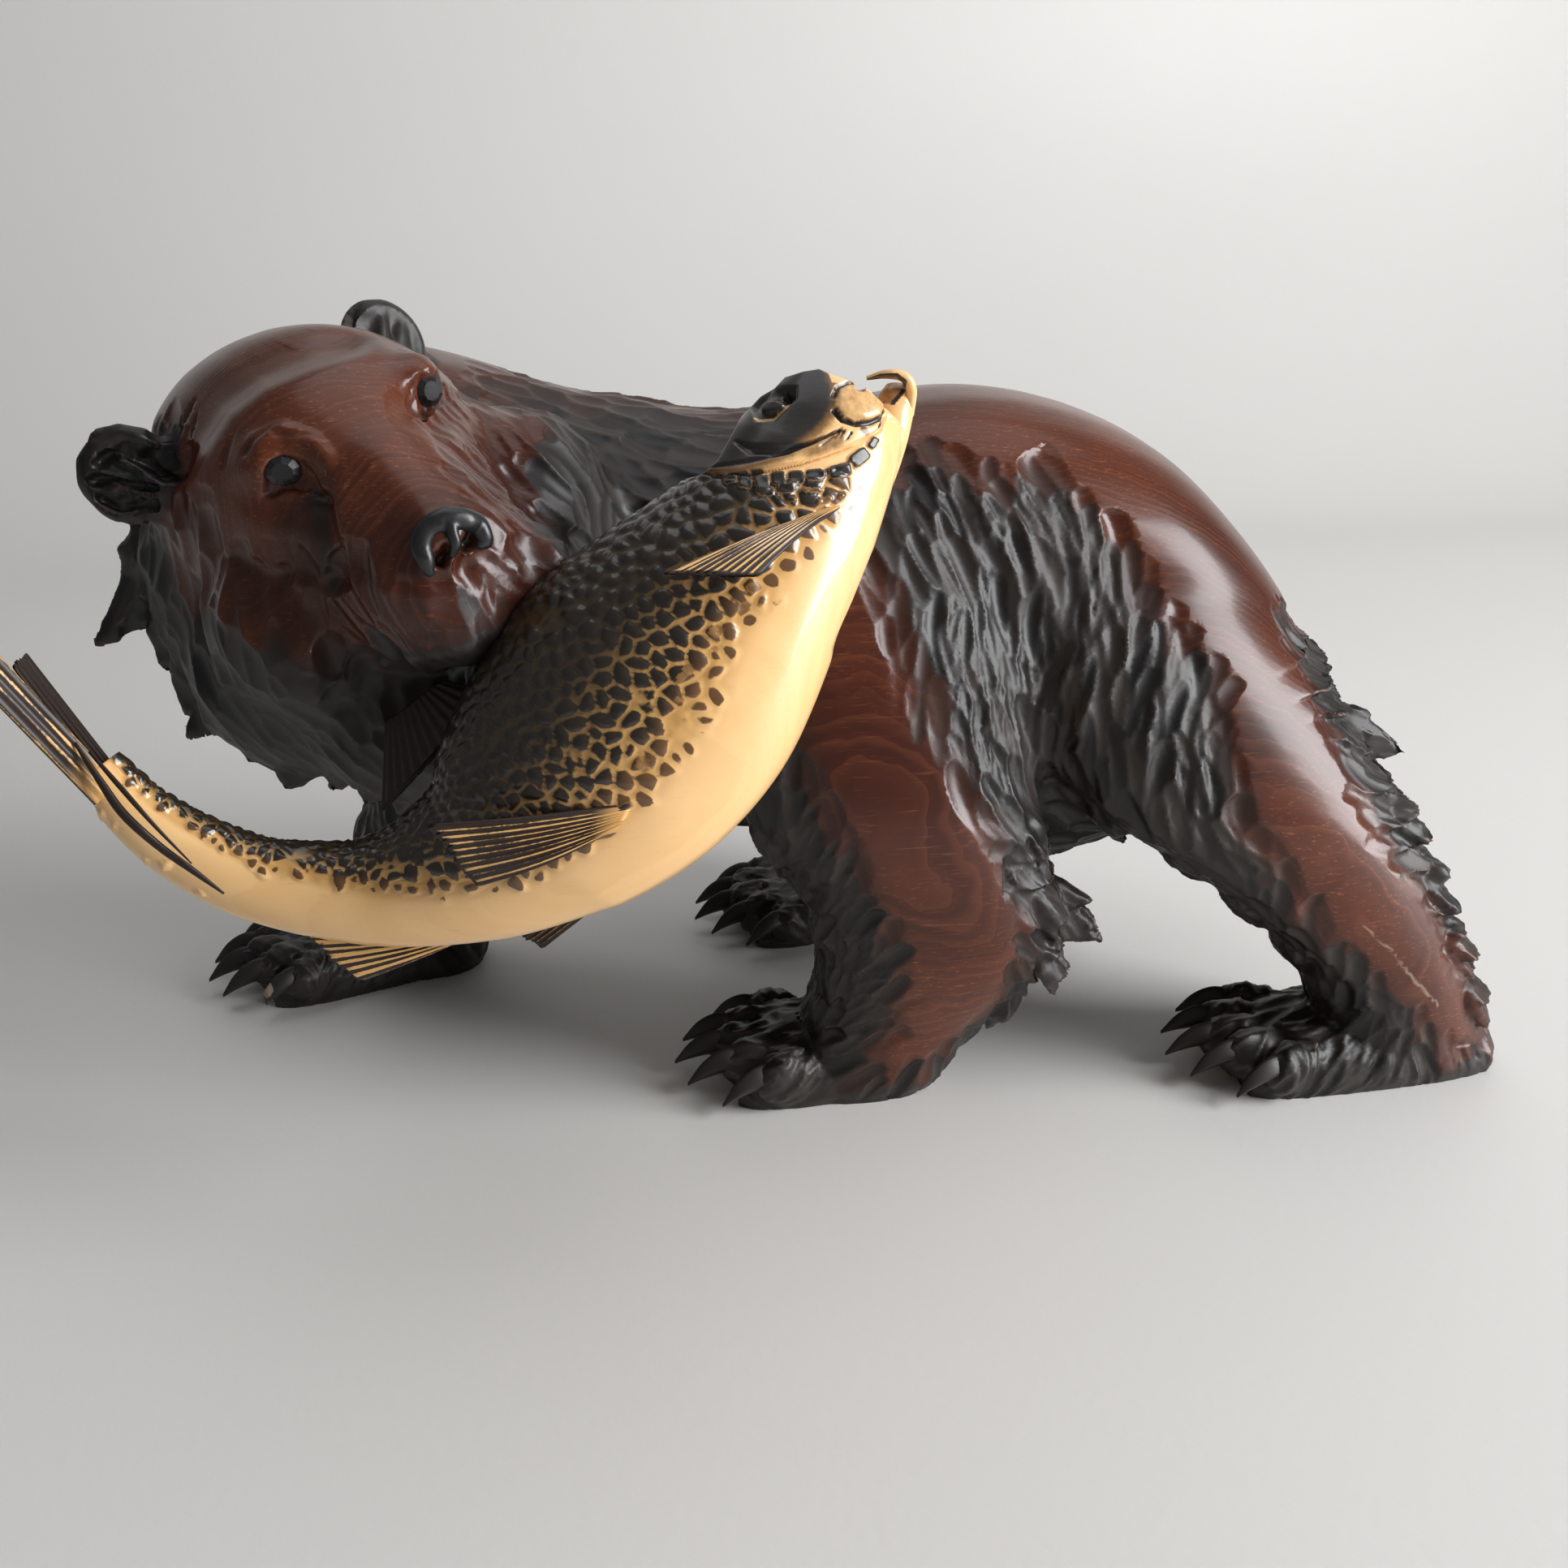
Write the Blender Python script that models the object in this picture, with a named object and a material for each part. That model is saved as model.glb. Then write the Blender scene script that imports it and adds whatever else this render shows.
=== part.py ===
"""Carved wooden bear that walks on four paws with a salmon across its mouth.

One solid, because bear and fish are carved from one block. Metres, +Z up.
The bear faces -X, its left side is on -Y, and the four soles rest on Z = 0.
"""
import math

import bmesh
import bpy
import numpy as np
from mathutils import Matrix, Vector
from mathutils.bvhtree import BVHTree

# Rounded trunk: x, y of the middle, top, underside, half width.
TRUNK = [
    (-0.150, 0.012, 0.278, 0.150, 0.045),
    (-0.128, 0.012, 0.283, 0.122, 0.064),
    (-0.095, 0.010, 0.279, 0.106, 0.074),
    (-0.050, 0.006, 0.272, 0.100, 0.079),
    (0.000, 0.000, 0.274, 0.096, 0.080),
    (0.050, 0.000, 0.280, 0.077, 0.080),
    (0.094, 0.000, 0.273, 0.078, 0.080),
    (0.135, 0.000, 0.254, 0.094, 0.081),
    (0.168, 0.000, 0.223, 0.100, 0.078),
    (0.193, 0.000, 0.189, 0.102, 0.069),
    (0.214, 0.000, 0.153, 0.104, 0.050),
    (0.227, 0.000, 0.127, 0.108, 0.028),
]
# Neck that swings from the shoulders to the back of the head.
NECK = [
    (-0.070, 0.008, 0.273, 0.135, 0.070),
    (-0.115, 0.010, 0.284, 0.132, 0.070),
    (-0.155, 0.012, 0.296, 0.136, 0.070),
    (-0.195, 0.012, 0.302, 0.145, 0.066),
    (-0.228, 0.010, 0.297, 0.160, 0.054),
    (-0.250, 0.008, 0.284, 0.180, 0.036),
]
# Legs, from the body down: z, front x, back x, y of the middle, half width.
LEG_FRONT_LEFT = [
    (0.235, -0.052, 0.052, -0.038, 0.036),
    (0.195, -0.062, 0.068, -0.052, 0.042),
    (0.155, -0.058, 0.073, -0.062, 0.042),
    (0.125, -0.044, 0.072, -0.069, 0.040),
    (0.098, -0.025, 0.076, -0.072, 0.036),
    (0.072, -0.017, 0.082, -0.071, 0.034),
    (0.050, -0.016, 0.074, -0.067, 0.031),
    (0.032, -0.020, 0.060, -0.062, 0.029),
    (0.014, -0.028, 0.047, -0.059, 0.028),
    (-0.006, -0.034, 0.036, -0.057, 0.027),
]
LEG_FRONT_RIGHT = [
    (0.235, -0.110, -0.005, 0.038, 0.036),
    (0.195, -0.135, -0.010, 0.052, 0.042),
    (0.155, -0.165, -0.030, 0.060, 0.042),
    (0.125, -0.188, -0.052, 0.062, 0.039),
    (0.098, -0.200, -0.082, 0.063, 0.036),
    (0.072, -0.208, -0.108, 0.065, 0.033),
    (0.050, -0.213, -0.128, 0.068, 0.030),
    (0.032, -0.218, -0.144, 0.072, 0.028),
    (0.014, -0.222, -0.152, 0.076, 0.027),
    (-0.006, -0.224, -0.156, 0.078, 0.025),
]
LEG_HIND_LEFT = [
    (0.225, 0.062, 0.150, -0.034, 0.032),
    (0.190, 0.056, 0.176, -0.050, 0.040),
    (0.155, 0.064, 0.201, -0.062, 0.044),
    (0.125, 0.090, 0.220, -0.072, 0.042),
    (0.100, 0.130, 0.234, -0.079, 0.037),
    (0.075, 0.162, 0.245, -0.083, 0.033),
    (0.052, 0.185, 0.257, -0.084, 0.030),
    (0.034, 0.196, 0.267, -0.083, 0.028),
    (0.016, 0.196, 0.277, -0.083, 0.026),
    (-0.006, 0.196, 0.285, -0.083, 0.023),
]
LEG_HIND_RIGHT = [
    (0.225, 0.060, 0.165, 0.034, 0.034),
    (0.190, 0.045, 0.186, 0.050, 0.042),
    (0.155, 0.030, 0.192, 0.062, 0.045),
    (0.125, 0.028, 0.170, 0.072, 0.042),
    (0.100, 0.030, 0.142, 0.079, 0.037),
    (0.075, 0.034, 0.124, 0.083, 0.033),
    (0.052, 0.034, 0.108, 0.088, 0.029),
    (0.034, 0.026, 0.098, 0.091, 0.027),
    (0.016, 0.016, 0.092, 0.093, 0.026),
    (-0.006, 0.012, 0.088, 0.094, 0.024),
]
LEGS = {
    "front_left": LEG_FRONT_LEFT,
    "front_right": LEG_FRONT_RIGHT,
    "hind_left": LEG_HIND_LEFT,
    "hind_right": LEG_HIND_RIGHT,
}
# Paws, along the foot: distance from the heel, top, half width.
PAW_PROFILE = [
    (0.000, 0.020, 0.020),
    (0.020, 0.028, 0.026),
    (0.045, 0.029, 0.029),
    (0.068, 0.027, 0.032),
    (0.086, 0.023, 0.033),
    (0.098, 0.015, 0.030),
]
PAW_LENGTH = 0.098
# Height of the middle line of a foot, and how far its sections reach below it.
PAW_AXIS_HEIGHT = 0.006
SOLE_DEPTH = 0.014
# Heel x and y, turn of the foot towards the bear's right, length.
PAWS = {
    "front_left": (0.034, -0.057, 0.04, 0.092),
    "front_right": (-0.166, 0.084, -0.26, 0.104),
    "hind_left": (0.272, -0.083, 0.03, 0.122),
    "hind_right": (0.068, 0.097, -0.12, 0.104),
}
CLAWS_PER_PAW = 5
# Toes: half spread across the foot, fan of the outer toes, setback of the middle and outer knuckles.
TOE_SPREAD = 0.026
TOE_FAN = 0.34
TOE_SETBACK = 0.014
TOE_ARC = 0.016
KNUCKLE_HEIGHT = 0.014
KNUCKLE_RADII = (0.016, 0.0085, 0.0115)
CLAW_LENGTH = 0.024
CLAW_RADIUS = 0.0042
# How far the foot of a claw lies before and above its knuckle.
CLAW_SEAT = (0.008, 0.001)
# Along a claw: share of its length, drop, share of its radius.
CLAW_STEPS = ((0.0, 0.0, 1.0), (0.36, 0.0, 0.95), (0.70, -0.0035, 0.7), (0.98, -0.0090, 0.22))

# Head, in its own frame: x towards the nose, y to the bear's left, z to the crown.
HEAD_CENTRE = (-0.197, -0.036, 0.2525)
HEAD_FORWARD = (0.4562, -0.8832, 0.1087)
HEAD_CROWN = (-0.4076, -0.0988, 0.9078)
# Skull and muzzle: x, top, underside, half width.
SKULL = [
    (-0.078, 0.020, -0.045, 0.026),
    (-0.060, 0.040, -0.066, 0.046),
    (-0.030, 0.053, -0.080, 0.058),
    (0.005, 0.057, -0.082, 0.060),
    (0.035, 0.055, -0.076, 0.056),
    (0.058, 0.048, -0.066, 0.046),
    (0.078, 0.036, -0.058, 0.036),
    (0.098, 0.020, -0.054, 0.029),
    (0.114, 0.007, -0.051, 0.026),
    (0.124, -0.001, -0.048, 0.021),
    (0.129, -0.010, -0.042, 0.012),
]
EAR_SEATS = {-1: (-0.002, -0.054, 0.036), 1: (-0.002, 0.050, 0.030)}
EAR_RADIUS = 0.0175
EAR_THICKNESS = 0.017
EAR_DISH = 0.75
EAR_DISH_EDGE = 0.62
# Way the hollow of the left ear looks, and way its tip points.
EAR_AXIS = (0.90, 0.30, 0.15)
EAR_TIP = (0.0, 0.66, 0.75)
EAR_ROOT_DEPTH = 0.014
EAR_ROOT_RADII = (0.010, 0.014, 0.014)
EYE_SEAT = (0.068, 0.027, 0.023)
EYE_RADIUS = 0.0078
NOSE_SEAT = (0.123, 0.0, -0.010)
NOSE_RADII = (0.008, 0.013, 0.010)

# Salmon: x, y, z of the axis, half height to the back, to the belly, half thickness.
SALMON = [
    (-0.0168, -0.112, 0.2990, 0.0100, 0.0125, 0.0080),
    (-0.0180, -0.113, 0.2965, 0.0180, 0.0190, 0.0115),
    (-0.0208, -0.116, 0.2905, 0.0255, 0.0250, 0.0150),
    (-0.0258, -0.120, 0.2815, 0.0300, 0.0290, 0.0185),
    (-0.0314, -0.124, 0.2705, 0.0310, 0.0310, 0.0215),
    (-0.0392, -0.129, 0.2582, 0.0334, 0.0334, 0.0235),
    (-0.0493, -0.134, 0.2450, 0.0371, 0.0371, 0.0255),
    (-0.0672, -0.140, 0.2243, 0.0453, 0.0453, 0.0280),
    (-0.0840, -0.145, 0.2048, 0.0498, 0.0498, 0.0290),
    (-0.1027, -0.149, 0.1849, 0.0483, 0.0483, 0.0280),
    (-0.1233, -0.151, 0.1657, 0.0405, 0.0405, 0.0250),
    (-0.1445, -0.151, 0.1499, 0.0282, 0.0282, 0.0205),
    (-0.1754, -0.149, 0.1402, 0.0184, 0.0184, 0.0155),
    (-0.2081, -0.146, 0.1436, 0.0142, 0.0142, 0.0115),
    (-0.2303, -0.143, 0.1533, 0.0125, 0.0125, 0.0095),
    (-0.2477, -0.140, 0.1671, 0.0103, 0.0103, 0.0080),
    (-0.2597, -0.137, 0.1841, 0.0075, 0.0075, 0.0065),
]
# Direction from the fish axis to the flank that faces away from the bear.
SALMON_OUT = (-0.146, -0.920, 0.363)
FIN_THICKNESS = 0.0040
# Corners of each fin, its foot sunk in the fish first.
FINS = {
    "pectoral": [
        (-0.024, -0.146, 0.263), (-0.034, -0.150, 0.262),
        (-0.083, -0.168, 0.247), (-0.052, -0.168, 0.246),
    ],
    "pelvic": [
        (-0.091, -0.170, 0.173), (-0.105, -0.174, 0.176),
        (-0.158, -0.188, 0.1755), (-0.144, -0.188, 0.157),
    ],
    "pelvic_far": [
        (-0.078, -0.146, 0.160), (-0.106, -0.148, 0.150),
        (-0.127, -0.136, 0.109), (-0.104, -0.134, 0.118),
    ],
    "anal": [
        (-0.152, -0.150, 0.122), (-0.208, -0.148, 0.134),
        (-0.200, -0.150, 0.1106), (-0.184, -0.150, 0.1065),
    ],
    "dorsal": [
        (-0.168, -0.145, 0.160), (-0.132, -0.142, 0.203),
        (-0.150, -0.128, 0.204), (-0.172, -0.126, 0.186),
    ],
}
TAIL_ROOT = (-0.2570, -0.138, 0.1830)
TAIL_DARK_TIP = (-0.3000, -0.118, 0.2440)
TAIL_NOTCH = (-0.2860, -0.139, 0.2260)
TAIL_PALE_TIP = (-0.2960, -0.161, 0.2410)
TAIL_ROOT_SPREAD = (0, 0.007, 0)
# Hooked lower jaw, from the throat to its tip over the snout.
JAW = [
    (0.0030, -0.120, 0.2700, 0.0055),
    (0.0045, -0.116, 0.2860, 0.0050),
    (0.0040, -0.113, 0.2975, 0.0045),
    (-0.0030, -0.112, 0.3005, 0.0035),
    (-0.0090, -0.112, 0.2990, 0.0020),
]

# Swellings fused into the body: centre, radii.
MANE = [
    ((-0.212, -0.012, 0.216), (0.057, 0.060, 0.062)),
    ((-0.200, -0.040, 0.190), (0.052, 0.050, 0.048)),
    ((-0.165, -0.066, 0.181), (0.046, 0.045, 0.041)),
    ((-0.128, -0.048, 0.236), (0.042, 0.040, 0.048)),
]
# Swellings of the face, in the head frame, given for the bear's left.
FACE = [
    ((0.036, 0.046, -0.030), (0.036, 0.026, 0.034)),
    ((0.094, 0.017, -0.036), (0.030, 0.018, 0.017)),
    ((0.058, 0.029, 0.027), (0.018, 0.011, 0.009)),
]

# Fur locks: short spindles laid along the coat.
LOCK_WIDTH = 0.017
LOCK_HEIGHT = 0.0044
# Along a lock: share of its length, share of its width.
LOCK_STEPS = ((0.0, 0.25), (0.2, 0.8), (0.45, 1.0), (0.7, 0.75), (0.88, 0.4), (1.0, 0.08))
LEG_LOCK_WIDTH = 0.0153
FLANK_LOCK_LIFT = 0.003
# Rows on both flanks: ends in side view (x, z), stroke angles at the ends, number, length.
FLANK_ROWS = [
    ((0.012, 0.228), (0.126, 0.212), -66, -118, 8, 0.044),
    ((0.022, 0.200), (0.120, 0.188), -70, -116, 7, 0.044),
    ((0.034, 0.172), (0.114, 0.162), -76, -112, 6, 0.042),
    ((0.050, 0.146), (0.102, 0.140), -82, -100, 4, 0.036),
    ((-0.118, 0.270), (-0.112, 0.215), -40, -62, 5, 0.040),
    ((-0.090, 0.258), (-0.088, 0.205), -48, -72, 4, 0.040),
]
# Rows down each leg: angle round the leg from the front, number, length, lift of the tips.
LEG_ROWS = [
    (12, 6, 0.030, 0.004),
    (46, 5, 0.028, 0.002),
    (152, 5, 0.028, 0.004),
    (176, 7, 0.030, 0.008),
]
# Rows across the rump: height, number, half spread, length, lift of the tips.
RUMP_ROWS = [
    (0.186, 4, 0.040, 0.030, 0.003),
    (0.164, 5, 0.052, 0.030, 0.006),
    (0.142, 4, 0.046, 0.030, 0.006),
    (0.121, 3, 0.030, 0.028, 0.004),
]
LEG_ROW_TOP = 0.128
LEG_ROW_LOW = 0.050
LEG_LOCK_WAY = (0.10, 0, -1)
# How far the locks at the ends of a row across the rump lean outwards.
RUMP_LOCK_LEAN = 0.25
# Ruff under the head: spots on its lower edge and the way its locks hang.
RUFF_EDGE = [
    (-0.264, -0.014, 0.226), (-0.264, -0.022, 0.200), (-0.250, -0.036, 0.176),
    (-0.228, -0.052, 0.158), (-0.198, -0.070, 0.148), (-0.172, -0.080, 0.146),
]
RUFF_HANG = (-0.42, -0.12, -0.90)
RUFF_LENGTH = 0.034
# Share of a ruff lock above its spot on the edge, and its thickness to its width.
RUFF_OVERLAP = 0.62
HANGING_LOCK_FLATNESS = 0.7
# Lone tufts that break the outline: root, tip, width.
TUFTS = [
    ((0.074, -0.082, 0.088), (0.098, -0.086, 0.070), 0.016),
    ((0.204, -0.046, 0.162), (0.227, -0.052, 0.139), 0.017),
    ((-0.262, -0.014, 0.212), (-0.286, -0.021, 0.192), 0.018),
    ((-0.236, -0.036, 0.178), (-0.255, -0.042, 0.159), 0.018),
]

# Start of the rays that find the coat, beyond any part of it.
BESIDE_BODY = 0.3
BEHIND_BODY = 0.4
BESIDE_LEG = 0.12

# Squareness of the rounded sections: 2 is an ellipse.
BODY_POWER = 2.3
LEG_POWER = 2.5
HEAD_POWER = 2.1
PAW_POWER = 2.6
FISH_POWER = 2.1

FINE_VOXEL = 0.0018
BODY_VOXEL = 0.0040
BODY_SOFTENING = 9
TRIANGLES = 9600


def curve_rows(rows, steps):
    """Station rows with further rows on a smooth curve through the given ones."""
    rows = np.array(rows, float)
    before = 2 * rows[0] - rows[1]
    after = 2 * rows[-1] - rows[-2]
    padded = np.vstack([before, rows, after])
    out = []
    for i in range(len(rows) - 1):
        a, b, c, d = padded[i:i + 4]
        for t in np.arange(steps) / steps:
            line = (c - a) * t + (2 * a - 5 * b + 4 * c - d) * t ** 2
            out.append(b + 0.5 * (line + (3 * b - a - 3 * c + d) * t ** 3))
    out.append(rows[-1])
    return np.array(out)


def ring(centre, side, rise, half, up, down, power=BODY_POWER, count=28):
    """Closed rounded section: superellipse with its own height above and below."""
    middle, side, rise = Vector(centre), Vector(side), Vector(rise)
    half, up, down = float(half), float(up), float(down)
    points = []
    for k in range(count):
        a = 2 * math.pi * k / count
        c, s = math.cos(a), math.sin(a)
        across = half * math.copysign(abs(c) ** (2 / power), c)
        high = (up if s > 0 else down) * math.copysign(abs(s) ** (2 / power), s)
        points.append(middle + side * across + rise * high)
    return points


def skin(bm, rings):
    """Closed surface through a list of rings, each end closed on a middle point."""
    loops = [[bm.verts.new(p) for p in points] for points in rings]
    count = len(loops[0])
    for low, high in zip(loops, loops[1:]):
        for k in range(count):
            n = (k + 1) % count
            bm.faces.new((low[k], low[n], high[n], high[k]))
    for loop, flip in ((loops[0], True), (loops[-1], False)):
        middle = sum((v.co for v in loop), Vector()) / count
        pole = bm.verts.new(middle)
        for k in range(count):
            n = (k + 1) % count
            pair = (loop[n], loop[k]) if flip else (loop[k], loop[n])
            bm.faces.new((pair[0], pair[1], pole))


def add_trunk(bm, stations):
    """Trunk or neck: upright sections along X."""
    rings = []
    for x, y, top, low, half in curve_rows(stations, 4):
        middle = (top + low) / 2
        rise = (top - low) / 2
        rings.append(ring((x, y, middle), (0, 1, 0), (0, 0, 1), half, rise, rise))
    skin(bm, rings)


def add_leg(bm, stations):
    """Leg: level sections from the body down to the sole."""
    rings = []
    for z, front, back, y, half in curve_rows(stations, 3):
        reach = (back - front) / 2
        centre = ((front + back) / 2, y, z)
        rings.append(ring(centre, (1, 0, 0), (0, 1, 0), reach, half, half, LEG_POWER))
    skin(bm, rings)


def ellipsoid(bm, centre, radii, turn=None):
    """Egg-shaped swelling of the body."""
    matrix = Matrix.Translation(centre)
    if turn is not None:
        matrix = matrix @ turn
    matrix = matrix @ Matrix.Diagonal((*radii, 1.0))
    bmesh.ops.create_icosphere(bm, subdivisions=3, radius=1.0, matrix=matrix)


def head_matrix():
    """Frame of the turned and tilted head."""
    forward = Vector(HEAD_FORWARD).normalized()
    left = Vector(HEAD_CROWN).cross(forward).normalized()
    crown = forward.cross(left)
    matrix = Matrix((forward, left, crown)).transposed().to_4x4()
    matrix.translation = Vector(HEAD_CENTRE)
    return matrix


def add_skull(bm):
    """Skull and muzzle as sections along the head's own axis."""
    frame = head_matrix()
    axes = frame.to_3x3()
    rings = []
    for x, top, low, half in curve_rows(SKULL, 4):
        middle = (top + low) / 2
        rise = (top - low) / 2
        centre = frame @ Vector((x, 0, middle))
        rings.append(ring(centre, axes.col[1], axes.col[2], half, rise, rise, HEAD_POWER))
    skin(bm, rings)


def tapered(bm, points, radii, flat=1.0, normal=(0, 0, 1), count=10):
    """Horn or lock: round or flattened sections along a line of points."""
    rings = []
    for i, point in enumerate(points):
        ahead = points[min(i + 1, len(points) - 1)] - points[max(i - 1, 0)]
        along = ahead.normalized()
        side = Vector(normal).cross(along).normalized()
        rise = along.cross(side)
        r = radii[i]
        rings.append(ring(point, side, rise, r, r * flat, r * flat, 2.0, count))
    skin(bm, rings)


def add_lock(bm, root, direction, normal, length, width, height, lift):
    """Fur lock: flat spindle from root to tip, its tip lifted off the coat."""
    points = []
    radii = []
    for t, r in LOCK_STEPS:
        points.append(root + direction * (length * t) + normal * (lift * t ** 2))
        radii.append(width / 2 * r)
    tapered(bm, points, radii, height / width * 2, normal)


def add_paw(bm, name):
    """Foot with a flat sole, five toes and five claws."""
    heel_x, heel_y, turn, length = PAWS[name]
    along = Vector((-math.cos(turn), math.sin(turn), 0))
    side = Vector((0, 0, 1)).cross(along)
    stretch = length / PAW_LENGTH
    rings = []
    for reach, top, half in curve_rows(PAW_PROFILE, 4):
        centre = Vector((heel_x, heel_y, PAW_AXIS_HEIGHT)) + along * (reach * stretch)
        up = top - PAW_AXIS_HEIGHT
        rings.append(ring(centre, side, (0, 0, 1), half, up, SOLE_DEPTH, PAW_POWER))
    skin(bm, rings)
    for k in range(CLAWS_PER_PAW):
        spread = 2 * k / (CLAWS_PER_PAW - 1) - 1
        way = (along + side * (TOE_FAN * spread)).normalized()
        front = length - TOE_SETBACK - TOE_ARC * spread ** 2
        knuckle = Vector((heel_x, heel_y, KNUCKLE_HEIGHT)) + along * front
        knuckle = knuckle + side * (TOE_SPREAD * spread)
        add_toe(bm, knuckle, way)


def add_toe(bm, knuckle, way):
    """Knuckle and the bent claw in front of it."""
    across = Vector((0, 0, 1)).cross(way)
    turned = Matrix((way, across, Vector((0, 0, 1)))).transposed().to_4x4()
    ellipsoid(bm, knuckle, KNUCKLE_RADII, turned)
    base = knuckle + way * CLAW_SEAT[0] + Vector((0, 0, CLAW_SEAT[1]))
    points = [base + way * (CLAW_LENGTH * t) + Vector((0, 0, drop)) for t, drop, _ in CLAW_STEPS]
    tapered(bm, points, [CLAW_RADIUS * share for _, _, share in CLAW_STEPS])


def add_ear(bm, hand):
    """Rounded ear with a hollow towards the front."""
    frame = head_matrix()
    seat = Vector(EAR_SEATS[hand])
    axis = Vector((EAR_AXIS[0], EAR_AXIS[1] * hand, EAR_AXIS[2])).normalized()
    lift = Vector((EAR_TIP[0], EAR_TIP[1] * hand, EAR_TIP[2]))
    across = axis.cross(lift).normalized()
    lift = across.cross(axis)
    local = frame @ Matrix.Translation(seat) @ Matrix((axis, across, lift)).transposed().to_4x4()
    shape = Matrix.Diagonal((EAR_THICKNESS / 2, EAR_RADIUS, EAR_RADIUS, 1.0))
    made = bmesh.ops.create_icosphere(bm, subdivisions=4, radius=1.0)["verts"]
    for v in made:
        dish = max(0.0, 1 - (v.co.y ** 2 + v.co.z ** 2) / EAR_DISH_EDGE)
        if v.co.x > 0:
            v.co.x -= EAR_DISH * dish
        v.co = local @ shape @ v.co
    root = local @ Matrix.Translation((0, 0, -EAR_ROOT_DEPTH))
    root = root @ Matrix.Diagonal((*EAR_ROOT_RADII, 1.0))
    bmesh.ops.create_icosphere(bm, subdivisions=3, radius=1.0, matrix=root)


def add_face(bm):
    """Cheeks, lips and brows of both halves of the face."""
    frame = head_matrix()
    for (x, y, z), radii in FACE:
        for hand in (-1, 1):
            shape = Matrix.Diagonal((*radii, 1.0))
            matrix = frame @ Matrix.Translation((x, y * hand, z)) @ shape
            bmesh.ops.create_icosphere(bm, subdivisions=3, radius=1.0, matrix=matrix)


def add_eyes_and_nose(bm):
    """Eyeballs and the pad of the nose."""
    frame = head_matrix()
    for hand in (-1, 1):
        seat = Matrix.Translation((EYE_SEAT[0], EYE_SEAT[1] * hand, EYE_SEAT[2]))
        bmesh.ops.create_icosphere(bm, subdivisions=3, radius=EYE_RADIUS, matrix=frame @ seat)
    pad = frame @ Matrix.Translation(NOSE_SEAT) @ Matrix.Diagonal((*NOSE_RADII, 1.0))
    bmesh.ops.create_icosphere(bm, subdivisions=3, radius=1.0, matrix=pad)


def mesh_object(name, bm):
    """Object holding the faces of a bmesh."""
    bmesh.ops.recalc_face_normals(bm, faces=bm.faces)
    mesh = bpy.data.meshes.new(name)
    bm.to_mesh(mesh)
    bm.free()
    made = bpy.data.objects.new(name, mesh)
    bpy.context.scene.collection.objects.link(made)
    return made


def blend(made, voxel, rounds):
    """Fuse overlapping forms into one skin and soften the seams."""
    remesh = made.modifiers.new("Fuse", "REMESH")
    remesh.mode = "VOXEL"
    remesh.voxel_size = voxel
    soften = made.modifiers.new("Soften", "SMOOTH")
    soften.iterations = rounds
    apply_modifiers(made)


def apply_modifiers(made):
    """Turn the object's modifiers into plain faces."""
    view = bpy.context.evaluated_depsgraph_get()
    mesh = bpy.data.meshes.new_from_object(made.evaluated_get(view))
    old = made.data
    made.modifiers.clear()
    made.data = mesh
    bpy.data.meshes.remove(old)


def body_masses():
    """Trunk, neck, legs and skull fused into one smooth body."""
    bm = bmesh.new()
    add_trunk(bm, TRUNK)
    add_trunk(bm, NECK)
    for stations in LEGS.values():
        add_leg(bm, stations)
    for centre, radii in MANE:
        ellipsoid(bm, centre, radii)
    add_skull(bm)
    add_face(bm)
    made = mesh_object("body_masses", bm)
    blend(made, BODY_VOXEL, BODY_SOFTENING)
    return made


def salmon_side(along):
    """Direction across the fish, from its axis to the outer flank."""
    out = Vector(SALMON_OUT)
    return (out - along * along.dot(out)).normalized()


def add_salmon(bm):
    """Fish body: sections along a bent axis, back towards the bear's mouth."""
    rows = curve_rows(SALMON, 4)
    rings = []
    for i, (x, y, z, back, belly, thick) in enumerate(rows):
        ahead = rows[max(i - 1, 0)][:3] - rows[min(i + 1, len(rows) - 1)][:3]
        along = Vector(ahead).normalized()
        side = salmon_side(along)
        rise = side.cross(along).normalized()
        rings.append(ring((x, y, z), side, rise, thick, back, belly, FISH_POWER))
    skin(bm, rings)
    jaw = curve_rows(JAW, 3)
    tapered(bm, [Vector(row[:3]) for row in jaw], [float(row[3]) for row in jaw], 1.0, SALMON_OUT)


def blade(bm, corners, thickness):
    """Flat plate with the given corners."""
    points = [Vector(c) for c in corners]
    normal = (points[2] - points[0]).cross(points[-1] - points[1]).normalized()
    half = normal * (thickness / 2)
    top = [bm.verts.new(p + half) for p in points]
    low = [bm.verts.new(p - half) for p in points]
    bm.faces.new(top)
    bm.faces.new(list(reversed(low)))
    for k in range(len(points)):
        n = (k + 1) % len(points)
        bm.faces.new((top[k], low[k], low[n], top[n]))


def add_fins(bm):
    """Paired and single fins, and the two lobes of the tail."""
    for corners in FINS.values():
        blade(bm, corners, FIN_THICKNESS)
    root = Vector(TAIL_ROOT)
    spread = Vector(TAIL_ROOT_SPREAD)
    dark, notch, pale = Vector(TAIL_DARK_TIP), Vector(TAIL_NOTCH), Vector(TAIL_PALE_TIP)
    blade(bm, (root + spread, dark, notch, root), FIN_THICKNESS)
    blade(bm, (root - spread, root, notch, pale), FIN_THICKNESS)


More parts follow.
